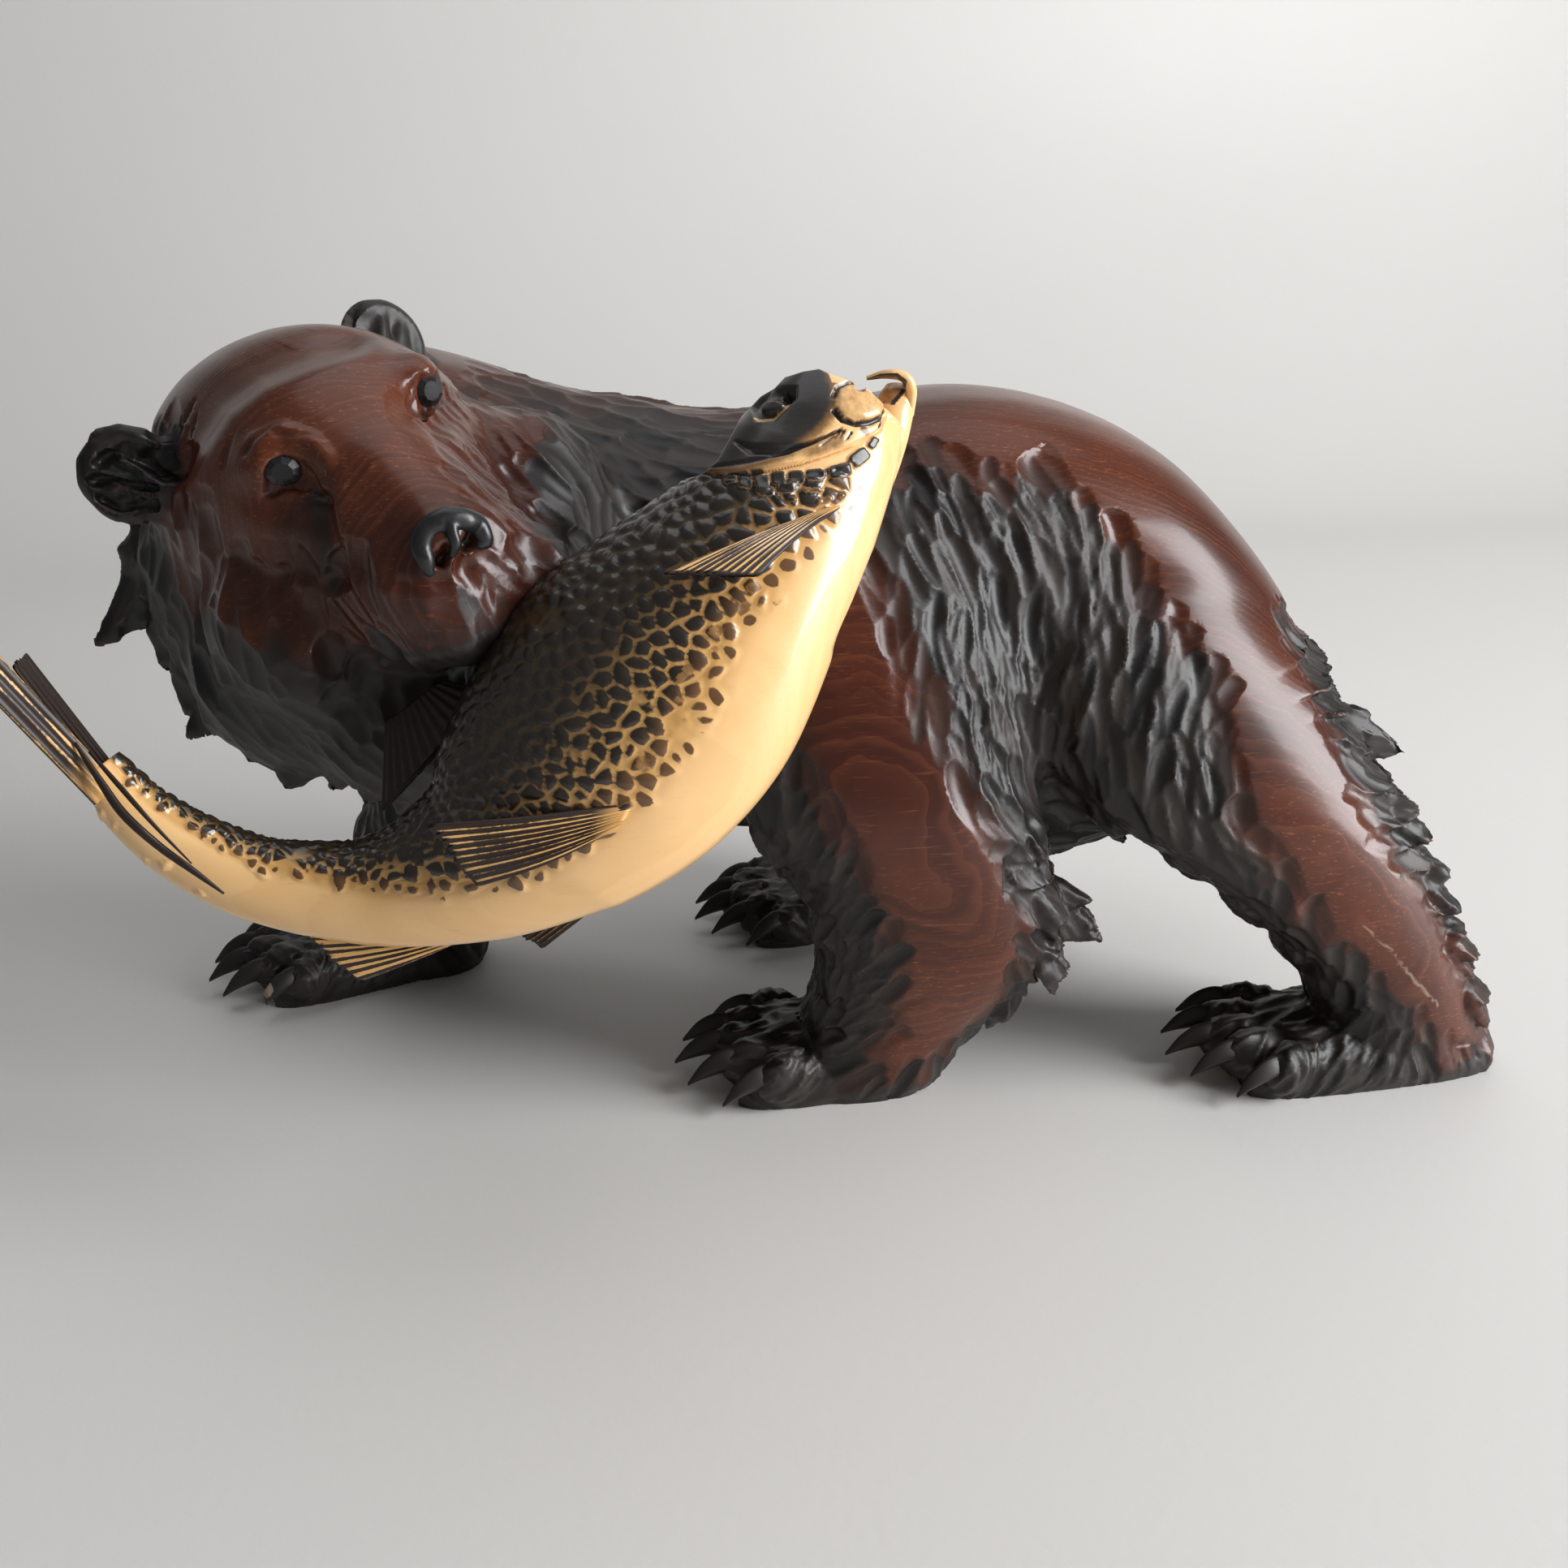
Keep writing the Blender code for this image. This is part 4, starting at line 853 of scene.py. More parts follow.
def loop_depth(x, y, loop):
    """Distance inside a closed outline, negative outside.

    A place is inside if an odd number of the outline's sides lie to its right.
    """
    loop = np.array(loop, float)
    inside = np.zeros(np.shape(x), bool)
    for (x0, y0), (x1, y1) in zip(loop, np.roll(loop, -1, axis=0)):
        if y0 != y1:
            inside ^= ((y0 > y) != (y1 > y)) & (x < x0 + (y - y0) * (x1 - x0) / (y1 - y0))
    far = near_line(x, y, np.vstack([loop, loop[:1]]))
    return np.where(inside, far, -far)


def oval_share(x, y, shape):
    """Squared distances along and across a tilted oval, in its half sizes: their sum is 1 on its rim."""
    middle_x, middle_y, length, width, tilt = shape
    c, s = math.cos(math.radians(tilt)), math.sin(math.radians(tilt))
    u, v = (x - middle_x) * c + (y - middle_y) * s, (y - middle_y) * c - (x - middle_x) * s
    return (u / length) ** 2, (v / width) ** 2


def drawn(x, y, stain, marks):
    """Heights and stain after a list of marks: each blends the stain towards its own and adds its height."""
    height = np.zeros(np.shape(x))
    for kind, shape, soft, tone, rise in marks:
        if kind == "line":
            cover = ramp(soft, 0, near_line(x, y, shape))
        elif kind == "patch":
            cover = ramp(-soft, soft, loop_depth(x, y, shape))
        else:
            u, v = oval_share(x, y, shape)
            cover = ramp(1.15, 0.5, u + v)
        height += rise * cover
        if tone is not None:
            sharp = ramp(0.15, 0.6, cover) if soft < WIDE_SHADING else cover
            stain = stain * (1 - sharp) + tone * sharp
    return height, stain


def trunk_shape(stations):
    """Upright sections along X."""
    x, y, top, low, half = curve_rows(stations, 4).T
    rise = (top - low) / 2
    return skin(rings(np.stack([x, y, (top + low) / 2], -1), (0, 1, 0), (0, 0, 1), half, rise, rise))


def leg_shape(stations):
    """Level sections from the body down to the sole."""
    z, front, back, y, half = curve_rows(stations, 3).T
    centres = np.stack([(front + back) / 2, y, z], -1)
    return skin(rings(centres, (1, 0, 0), (0, 1, 0), (back - front) / 2, half, half, 2.5))


def skull_shape():
    """Sections of skull and muzzle along the head's own axis."""
    x, top, low, half, y = curve_rows(SKULL, 4).T
    rise = (top - low) / 2
    centres = from_head(np.stack([x, y, (top + low) / 2], -1))
    return skin(rings(centres, HEAD[:, 1], HEAD[:, 2], half, rise, rise, 2.1))


def masses():
    """Trunk, neck, legs, mane, skull and face fused into one smooth body."""
    shapes = [trunk_shape(TRUNK), trunk_shape(NECK), skull_shape()]
    shapes += [leg_shape(stations) for stations in LEGS.values()]
    shapes += [egg(centre, radii) for centre, radii in MANE]
    for (x, y, z), radii in FACE:
        shapes += [egg(from_head((x, y * hand, z)), radii, HEAD) for hand in (-1, 1)]
    return fused(joined(shapes), MASS_VOXEL, MASS_SOFTENING, 1)


def paw_frame(name):
    """Heel point, direction of the toes and direction across of one foot."""
    heel_x, heel_y, turn, length = PAWS[name]
    along = np.array([-math.cos(turn), math.sin(turn), 0])
    side = np.array([-along[1], along[0], 0])
    return np.array([heel_x, heel_y, 0]), along, side, length


def toe_lines(name):
    """Knuckle and direction of each toe of a foot."""
    heel, along, side, length = paw_frame(name)
    spread = np.linspace(-1, 1, CLAWS_PER_PAW)[:, None]
    way = unit(along + side * TOE_FAN * spread)
    front = length - TOE_SETBACK - TOE_ARC * spread ** 2
    knuckle = heel + (0, 0, KNUCKLE_HEIGHT) + along * front + side * TOE_SPREAD * spread
    return knuckle, way


def paw_shapes(name):
    """Foot with a flat sole and its toes."""
    heel, along, side, length = paw_frame(name)
    reach, top, half = curve_rows(PAW_PROFILE, 4).T
    centres = heel + (0, 0, PAW_AXIS_HEIGHT) + along * (reach * length / PAW_LENGTH)[:, None]
    foot = skin(rings(centres, side, (0, 0, 1), half, top - PAW_AXIS_HEIGHT, SOLE_DEPTH + 0 * top, 2.6))
    shapes = [foot]
    for knuckle, way in zip(*toe_lines(name)):
        across = np.cross((0, 0, 1), way)
        shapes.append(egg(knuckle, KNUCKLE_RADII, np.stack([way, across, (0, 0, 1)], 1)))
    return shapes


def ear_frame(hand):
    """Seat and axes of an ear in the head's frame: hollow side, across, tip."""
    axis = unit((EAR_AXIS[0], EAR_AXIS[1] * hand, EAR_AXIS[2]))
    across = unit(np.cross(axis, (EAR_TIP[0], EAR_TIP[1] * hand, EAR_TIP[2])))
    return np.array(EAR_SEATS[hand]), np.stack([axis, across, np.cross(across, axis)], 1)


def ear_shapes(hand):
    """Rounded ear, dished on its front side, and its root."""
    seat, axes = ear_frame(hand)
    points, faces = egg((0, 0, 0), (1, 1, 1), steps=22)
    dish = np.clip(1 - (points[:, 1] ** 2 + points[:, 2] ** 2) / EAR_DISH_EDGE, 0, None)
    points[:, 0] -= np.where(points[:, 0] > 0, EAR_DISH * dish, 0)
    points = (points * (EAR_THICKNESS / 2, EAR_RADIUS, EAR_RADIUS)) @ axes.T + seat
    root = seat - axes[:, 2] * EAR_ROOT_DEPTH
    shapes = [(from_head(points), faces), egg(from_head(root), EAR_ROOT_RADII, HEAD @ axes)]
    for y0, y1 in EAR_PETALS:
        ends = (PETAL_FOOT[0], y0, PETAL_FOOT[1]), (PETAL_TIP[0], y1, PETAL_TIP[1])
        low, high = (from_head(axes @ np.array(spot) + seat) for spot in ends)
        shapes.append(lock(low, high, EAR_PETAL_WIDTH, 0, HEAD @ axes[:, 0]))
    return shapes


def lock(root, tip, width, bow, normal, steps=LOCK_STEPS):
    """Fur lock: flat spindle from root to tip that bows off the coat towards its tip."""
    share = np.array(steps)
    points = root + (tip - root) * share[:, :1] + normal * bow * share[:, :1] ** 2
    return horn(points, share[:, 1] * width / 2, LOCK_FLATNESS, normal)


def nearest_surface(points, normals, wanted, facing):
    """Index of the surface point nearest to each wanted spot, among those that look its way."""
    found = []
    for spot, look in zip(wanted, facing):
        off = np.linalg.norm(points - spot, axis=1) + np.where(normals @ look > 0.2, 0, 1)
        found.append(int(np.argmin(off)))
    return np.array(found)


def leg_locks(points, normals):
    """Rows of locks down the front and the back edge of every leg."""
    shapes = []
    for stations in LEGS.values():
        z0, front0, back0, y0, half0 = np.array(stations)[::-1].T
        hand = np.sign(y0[0])
        for angle, number, length, lift in LEG_ROWS:
            z = np.linspace(LEG_ROW_TOP, LEG_ROW_LOW, number)
            front, back, y, half = (np.interp(z, z0, column) for column in (front0, back0, y0, half0))
            a = math.radians(angle)
            out = np.array([-math.cos(a), hand * math.sin(a), 0])
            reach = np.stack([(back - front) / 2 * out[0], half * out[1], 0 * z], -1)
            wanted = np.stack([(front + back) / 2, y, z], -1) + reach
            spots = nearest_surface(points, normals, wanted, np.repeat(out[None], number, 0))
            for spot, normal in zip(points[spots], normals[spots]):
                way = np.array([0.10, 0, -1])
                way = unit(way - normal * (way @ normal))
                shapes.append(lock(spot - normal * 0.003, spot + way * length, LOCK_WIDTH, lift, normal))
    return shapes


def ruff_locks():
    """Locks that hang round the lower edge of the ruff, and the lone tufts."""
    hang = unit(RUFF_HANG)
    across = np.array([0.0, 1.0, 0.0])
    roots = curve_rows(RUFF_EDGE, 2) - hang * RUFF_LENGTH * np.array(RUFF_OVERLAP)[:, None]
    shapes = [lock(root, root + hang * RUFF_LENGTH, RUFF_WIDTH, 0, across) for root in roots]
    return shapes + [lock(np.array(r), np.array(t), w, 0, across, TUFT_STEPS) for r, t, w in TUFTS]


def coat_surface():
    """The whole bear as one fine skin that rests on the floor."""
    body, cells = masses()
    shapes = [(body, [cells])]
    shapes += leg_locks(body, normals_of(body, cells)) + ruff_locks()
    for name in PAWS:
        shapes += paw_shapes(name)
    for hand in (-1, 1):
        shapes += ear_shapes(hand)
    points, quads = fused(joined(shapes), COAT_VOXEL, COAT_SOFTENING)
    points[:, 2] = np.maximum(points[:, 2], 0)
    return points, quads


def leg_share(points, name):
    """Where each point lies between the front (0) and the back (1) of a leg at its height."""
    z0, front0, back0, y0, _ = np.array(LEGS[name])[::-1].T
    front = np.interp(points[:, 2], z0, front0)
    back = np.interp(points[:, 2], z0, back0)
    return (points[:, 0] - front) / (back - front), back - front, np.sign(y0[0])


def polish_depth(points, normals):
    """How far inside the polished areas each point lies, in metres; negative in the carved coat."""
    x, y, z = points.T
    edge = np.array(BACK_EDGE)
    wobble = (lumps(points, 0.016, 3) - 0.5) * 0.012
    depth = z - np.interp(x, edge[:, 0], edge[:, 1]) + wobble
    for name in LEGS:
        share, length, hand = leg_share(points, name)
        height, low, high = np.array(BANDS[name.split("_")[0]]).T
        band = np.minimum(share - np.interp(z, height, low), np.interp(z, height, high) - share) * length
        outward = (normals[:, 1] * hand - 0.12) * 0.05
        inside = np.minimum(np.minimum(band + wobble * 0.6, outward), (y * hand - 0.02))
        inside = np.minimum(inside, z - 0.016)
        depth = np.maximum(depth, np.where(z < height[-1] + 0.02, inside, -1))
    return np.maximum(depth, face_depth(points, normals, POLISHED_FACE))


def face_depth(points, normals, loop):
    """How far inside an outline of the face each point lies, in metres.

    Where the photo can't see, the outline is a plain oval.
    """
    local = to_head(points)
    x, y, z = local.T
    wobble = (lumps(points, 0.014, 5) - 0.5) * 0.010
    below = np.hypot(y / 0.047, np.minimum(z - 0.008, 0) / 0.046)
    depth = np.minimum((1 - below) * 0.047, 0.150 - np.linalg.norm(local * (1, 1.1, 1.2), axis=1)) + wobble
    seen = ramp(0.00, 0.20, towards_photo(points, normals))
    drawn_depth = loop_depth(*photo_place(points), loop) * PIXEL + wobble * 0.25
    depth = np.minimum(depth * (1 - seen) + drawn_depth * seen, 0.16 - np.linalg.norm(local, axis=1))
    return np.minimum(depth, ear_reach(local) - 0.020)


def ear_reach(local):
    """Distance to the middle of the nearer ear."""
    ears = map(ear_frame, (-1, 1))
    return np.minimum(*(np.linalg.norm(local - seat - axes[:, 2] * 0.004, axis=1) for seat, axes in ears))


def towards_photo(points, normals):
    """How squarely the skin at each point faces the camera, from -1 to 1."""
    return np.sum(unit(CAMERA_EYE - points) * normals, axis=-1)


def head_distance(points):
    """Distance from the middle of the head, in its half sizes."""
    return np.linalg.norm(to_head(points) / HEAD_SIZE, axis=1)


def ruff_share(points):
    """1 on the head and the ruff round it, falling to 0 on the body."""
    return ramp(1.9, 1.5, head_distance(points))


def along_skin(ways, normals):
    """Directions laid flat on the surface."""
    return unit(ways - normals * np.sum(ways * normals, axis=1, keepdims=True))


def head_share(points):
    """1 on the head, falling to 0 where the neck begins."""
    return ramp(1.15, 0.95, head_distance(points))


def seen_at(points, normals, x, y):
    """Index of the point that the photo shows at each of the given pixels."""
    facing = np.flatnonzero(towards_photo(points, normals) > 0.05)
    place_x, place_y = photo_place(points[facing])
    depth = np.linalg.norm(points[facing] - CAMERA_EYE, axis=1) / PIXEL
    found = []
    for spot_x, spot_y in zip(x, y):
        far = np.hypot(place_x - spot_x, place_y - spot_y)
        close = np.flatnonzero(far < far.min() + 4)
        found.append(facing[close[np.argmin(depth[close] + far[close])]])
    return np.array(found)


def coat_flow(points, normals):
    """Direction of the strokes at each point, along the surface.

    Each step blends the way so far into the next: to the low point of the flank, back along the neck,
    down the rump, down each leg, along the belly, back over the skull, as drawn on the head, and a
    little at random.
    """
    x, y, z = points.T
    hand = np.sign(y)
    still = 0 * x
    focus = np.stack([FLANK_FOCUS[0] - x, still, FLANK_FOCUS[1] - 0.06 - z], -1)
    way = unit(focus)
    neck = ramp(0.0, -0.06, x)[:, None]
    way = way * (1 - neck) + neck * np.array([0.85, 0, -0.53])
    rump = ramp(0.15, 0.19, x)[:, None]
    way = way * (1 - rump) + rump * np.stack([0.25 + still, hand * 0.1, -0.95 + still], -1)
    for name in LEGS:
        share, _, side = leg_share(points, name)
        z0, front0, back0, _, _ = np.array(LEGS[name])[::-1].T
        slope = np.interp(z, (z0[1:] + z0[:-1]) / 2, np.diff((front0 + back0) / 2) / np.diff(z0))
        down = np.stack([-slope + 2.0 * np.clip(share - 0.5, -0.5, 0.5), still, -1 + still], -1)
        within = ramp(0.25, -0.05, np.abs(share - 0.5) - 0.5) * ramp(0.17, 0.12, z) * (y * side > 0)
        way = way * (1 - within[:, None]) + unit(down) * within[:, None]
    belly = (ramp(-0.4, -0.8, normals[:, 2]) * ramp(0.05, 0.07, z))[:, None]
    way = way * (1 - belly) + belly * np.array([1.0, 0, 0])
    local = to_head(points)
    tip = np.stack([-0.45 + still, 0.55 * np.clip(local[:, 1] / 0.03, -1, 1), -0.75 + still], -1) @ HEAD.T
    skull = head_share(points)[:, None]
    way = way * (1 - skull) + skull * tip
    place_x, place_y = photo_place(points)
    flow_x, flow_y, step_x, step_y = np.array(HEAD_FLOW).T
    near = 1 / ((place_x[:, None] - flow_x) ** 2 + (place_y[:, None] - flow_y) ** 2 + 15 ** 2) ** 2
    near /= near.sum(axis=1, keepdims=True)
    seen_way = photo_way(*(near @ unit(np.stack([step_x, step_y], -1))).T)
    seen = ramp(0.0, 0.25, towards_photo(points, normals)) * ramp(1.75, 1.45, head_distance(points))
    seen = (seen * ramp(0.03, -0.02, x))[:, None]
    way = unit(way) * (1 - seen) + unit(seen_way) * seen
    way += (np.stack([lumps(points, 0.035, seed) for seed in (11, 12, 13)], -1) - 0.5) * 0.9
    return along_skin(way, normals)


def near_pairs(points, centres, size):
    """Pairs (centre, point) from the 27 boxes of the given size round each centre, box by box."""
    cells = np.floor(points / size).astype(np.int64) + 1000
    keys = cells @ BOX_KEY
    order = np.argsort(keys, kind="stable")
    sorted_keys = keys[order]
    home = np.floor(centres / size).astype(np.int64) + 1000
    for shift in np.ndindex(3, 3, 3):
        wanted = (home + shift - 1) @ BOX_KEY
        low = np.searchsorted(sorted_keys, wanted, "left")
        count = np.searchsorted(sorted_keys, wanted, "right") - low
        owner = np.repeat(np.arange(len(centres)), count)
        place = np.arange(len(owner)) - np.repeat(np.cumsum(count) - count, count) + np.repeat(low, count)
        yield owner, order[place]


def scattered(points, spacing, rng):
    """Indices of points spread evenly but loosely: the first random pick in each box of a grid."""
    shuffled = rng.permutation(len(points))
    cells = np.floor(points[shuffled] / spacing + rng.random(3)).astype(np.int64)
    _, first = np.unique(cells @ BOX_KEY, return_index=True)
    return shuffled[np.sort(first)]


def coat_strokes(points, normals, seeds, gouge, strength, rng):
    """Loose strokes of one gouge along the coat.

    Gives the seed, direction, half length, half width, depth and bend of each; near the head they are
    shorter and wider, low on the legs smaller.
    """
    _, half_length, half_width, depth = gouge
    count = len(seeds)
    legs = LEG_CUT_SIZE + (1 - LEG_CUT_SIZE) * ramp(0.08, 0.14, points[seeds, 2])
    size = rng.uniform(0.75, 1.3, count) * legs
    near_head = ruff_share(points[seeds])
    length = half_length * size * rng.uniform(0.85, 1.2, count) * (1 - 0.15 * near_head)
    along = coat_flow(points[seeds], normals[seeds])
    turn = rng.normal(0, 0.12, count)[:, None]
    side = np.cross(normals[seeds], along)
    along = along * np.cos(turn) + side * np.sin(turn)
    deep = depth * size * strength[seeds] * rng.uniform(0.7, 1.15, count)
    bend = rng.uniform(-0.25, 0.25, count)
    return seeds, along, length, half_width * size * (1 + 0.3 * near_head), deep, bend


def head_strokes(points, normals):
    """The single cuts on the head, as strokes."""
    x0, y0, x1, y1, width, depth = np.array(HEAD_CUTS).T
    seeds = seen_at(points, normals, (x0 + x1) / 2, (y0 + y1) / 2)
    along = along_skin(photo_way(x1 - x0, y1 - y0), normals[seeds])
    return seeds, along, np.hypot(x1 - x0, y1 - y0) * PIXEL * 0.6, width * PIXEL / 2, depth, 0 * depth


def gouge_depth(points, normals, strokes):
    """Depth that gouge strokes leave at each point, the deepest winning, and the seed of that stroke.

    Along a stroke s runs from 0 to 1, across it v from -1 to 1. The floor of the stroke lies at
    depth * (v squared - 2.2 * s^0.38 * (1 - s)), so it bites in at a round start and runs out at its tip.
    """
    seeds, along, length, width, deep, bend = strokes
    centre, normal = points[seeds], normals[seeds]
    side = np.cross(normal, along)
    lowest = np.zeros(len(points))
    owner = np.full(len(points), -1)
    for cut, spot in near_pairs(points, centre, length.max() * 1.02):
        off = points[spot] - centre[cut]
        u = np.sum(off * along[cut], axis=1) / length[cut]
        v = (np.sum(off * side[cut], axis=1) - bend[cut] * length[cut] * u * u) / width[cut]
        near = (np.abs(u) < 1) & (np.abs(v) < 1.1) & (np.sum(normals[spot] * normal[cut], axis=1) > 0.3)
        cut, spot, u, v = cut[near], spot[near], u[near], v[near]
        s = (u + 1) / 2
        floor = deep[cut] * (v * v - 2.2 * s ** 0.38 * (1 - s))
        np.minimum.at(lowest, spot, floor)
        wins = floor <= lowest[spot]
        owner[spot[wins]] = seeds[cut[wins]]
    return lowest, owner


def edge_teeth(points, normals):
    """How far each point of a leg's back edge stands out.

    The teeth grow downwards and each ends in a sharp step; their sizes follow from their numbers.
    """
    reach = np.zeros(len(points))
    for seed, name in enumerate(LEGS):
        share, _, hand = leg_share(points, name)
        phase = -points[:, 2] / TOOTH_PITCH + 1.6 * lumps(points * (1, 0.3, 1), 0.030, 31 + seed)
        tooth = np.floor(phase)
        fall = phase - tooth
        size = 0.45 + 0.85 * np.modf(np.abs(np.sin(tooth * 12.99 + seed) * 43758.5))[0]
        edge = ramp(0.76, 0.94, share) * ramp(1.22, 1.08, share) * ramp(0.1, 0.6, normals[:, 0])
        top = TOOTH_TOPS[name.split("_")[0]]
        edge *= ramp(0.020, 0.032, points[:, 2]) * ramp(top, top - 0.02, points[:, 2])
        edge *= points[:, 1] * hand > 0
        reach = np.maximum(reach, TOOTH_REACH * size * fall ** 1.4 * ramp(1.0, 0.84, fall) * edge)
    return reach


def model_face(points, quads):
    """The skin with the hollows, rolls and lids of the face."""
    normals = normals_of(points, quads)
    share = ramp(0.05, 0.30, towards_photo(points, normals)) * ramp(1.3, 1.2, head_distance(points))
    height, _ = drawn(*photo_place(points), np.zeros(len(points)), FACE_MARKS)
    return points + normals * (height * share)[:, None]


def carved_bear():
    """Points, faces and finish of the bear after all its cuts."""
    rng = np.random.default_rng(SEED)
    points, quads = coat_surface()
    points = model_face(points, quads)
    normals = normals_of(points, quads)
    points = points + edge_teeth(points, normals)[:, None] * unit(normals + TOOTH_WAY)
    normals = normals_of(points, quads)
    polish = polish_depth(points, normals)
    local = to_head(points)
    red = np.where(np.linalg.norm(local, axis=1) < FACE_REACH, face_depth(points, normals, RED_FACE), polish)
    red = np.maximum(polish, red)
    above_floor = ramp(*FLOOR_FADE, points[:, 2])
    ears = ramp(0.0245, 0.0200, ear_reach(local))
    place = photo_place(points)
    facing = towards_photo(points, normals)
    fan = ramp(70, 40, near_line(*place, FACE_FAN)) * (facing > 0)
    calm = above_floor * (1 - 0.35 * ears)
    coat = ramp(0.002, -0.010 + 0.006 * head_share(points), polish)
    char = np.maximum(ramp(0.000, -0.016, red), ears)
    chance = np.random.default_rng(SEED + 5).random(len(points))
    facet = np.full(len(points), 0.5)
    relief = np.zeros(len(points))
    round_head = head_distance(points)
    ruff = ruff_share(points)
    groups = ramp(0.42, 0.62, lumps(points, 0.035, 22)) * coat * (1 - 0.75 * ruff)
    for gouge, low, high, strength in (
        (THUMB_GOUGE, -0.006, 0.0015, 1 - ruff),
        (WIDE_GOUGE, -1, 0.001, (0.30 + 0.70 * coat) * (1 - 0.8 * fan)),
        (MIDDLE_GOUGE, -1, -0.001, np.maximum(groups, 0.8 * fan)),
    ):
        seeds = scattered(points, gouge[0], rng)
        seeds = seeds[(polish[seeds] > low) & (polish[seeds] < high)]
        strokes = coat_strokes(points, normals, seeds, gouge, strength * calm, rng)
        depth, owner = gouge_depth(points, normals, strokes)
        deeper = depth < relief
        relief = np.minimum(relief, depth)
        char = np.where(deeper, np.maximum(ramp(0.004, -0.012, red[owner]), ears), char)
        facet = np.where(deeper, 0.5 + (chance[owner] - 0.5) * ramp(0, -0.0012, depth), facet)
    seeds = scattered(points, NARROW_GOUGE[0], rng)
    seeds = seeds[polish[seeds] < -0.008]
    fine = ramp(0.42, 0.62, lumps(points, 0.03, 21)) * coat * above_floor * (1 - 0.8 * ruff)
    relief += gouge_depth(points, normals, coat_strokes(points, normals, seeds, NARROW_GOUGE, fine, rng))[0]
    depth = gouge_depth(points, normals, head_strokes(points, normals))[0]
    relief = np.minimum(relief, depth)
    char = np.maximum(char, ramp(0, -0.0016, depth) * 0.8)
    char = np.maximum(char, 0.40 * ramp(0.016, 0.000, polish) * (1 - ramp(1.4, 1.2, round_head)))
    share = ramp(0.05, 0.30, facing) * (round_head < 1.25)
    char = char * (1 - share) + drawn(*place, char, FACE_MARKS)[1] * share
    points = points + normals * (relief + 0.0010 * coat * above_floor)[:, None]
    points[:, 2] = np.maximum(points[:, 2], 0)
    # Convexity of the skin, which the finish paints as highlight on ridges and as shade in creases.
    bulge = np.sum((points - neighbour_mean(points, quads)) * normals, axis=1) / COAT_VOXEL
    low, high = (np.array(corner) - CARVER_ORIGIN for corner in BEAR_BOX)
    # Stored finish: bulge gives painted highlight on ridges and painted shade in creases, hollow gives
    # painted shade in the cuts, worn also paints a highlight on the left hind heel.
    values = {"char": neighbour_mean(char, quads), "bulge": bulge, "worn": wear_and_highlight_share(points, normals),
              "facet": neighbour_mean(facet, quads), "hollow": np.clip(-relief / 0.004, 0, 1)}
    return np.clip(points, low, high), quads, values


def wear_and_highlight_share(points, normals):
    """1 along the scratches that the photo shows and along the painted highlight of the left hind heel,
    falling to 0 beside them.
    """
    place = photo_place(points)
    seen = towards_photo(points, normals) > 0
    return np.max([ramp(reach, 0, near_line(*place, line)) * seen for line, reach in SCRATCHES_AND_HEEL_HIGHLIGHT], axis=0)


def set_values(mesh, values):
    """Store one number a point under each name; a single number is the same everywhere."""
    for name, numbers in values.items():
        each = np.array(np.broadcast_to(numbers, len(mesh.vertices)), np.float32)
        mesh.attributes.new(name, "FLOAT", "POINT").data.foreach_set("value", each)


def with_poles(values):
    """Numbers of a grid of rings with those of the two poles after them."""
    return {name: np.append(grid.ravel(), grid[[0, -1], 0]) for name, grid in values.items()}


def finish_piece(made, material):
    """Give a piece its material and tie it to the solid it stands for."""
    made.data.materials.append(material)
    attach(made, "root")
    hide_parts(NODE)


def add_eyes(points, normals, material):
    """Knife-faceted eyes that sit in the lids."""
    for name, ((x, y), (width, height, rise)) in EYE_BALLS.items():
        spot = seen_at(points, normals, [x], [y])[0]
        facing = unit(normals[spot] + unit(CAMERA_EYE - points[spot]))
        across = unit(CAMERA_RIGHT - facing * (CAMERA_RIGHT @ facing))
        axes = np.stack([np.cross(facing, across), across, facing], 1)
        spots, faces = egg(points[spot] - facing * 0.0010, (height, width, rise), axes, steps=5)
        made = add_mesh(name, spots + CARVER_ORIGIN, outward(spots, faces))
        made.data.shade_flat()
        finish_piece(made, material)


def add_nose(points, normals, material):
    """Pad of the nose: a rolled band with a middle prong, fused and smoothed."""
    shapes = []
    for rows in (NOSE_BAND, NOSE_PRONG):
        x, y, half = curve_rows(rows, 6).T
        spots = seen_at(points, normals, x, y)
        line = points[spots] + normals[spots] * 0.0004
        for _ in range(6):
            line[1:-1] = (line[:-2] + 2 * line[1:-1] + line[2:]) / 4
        shapes.append(horn(line, half * PIXEL, 0.85, unit(CAMERA_EYE - line[0]), 24))
    points, quads = fused(joined(shapes), NOSE_VOXEL, 8)
    finish_piece(add_mesh("nose", points + CARVER_ORIGIN, [quads]), material)


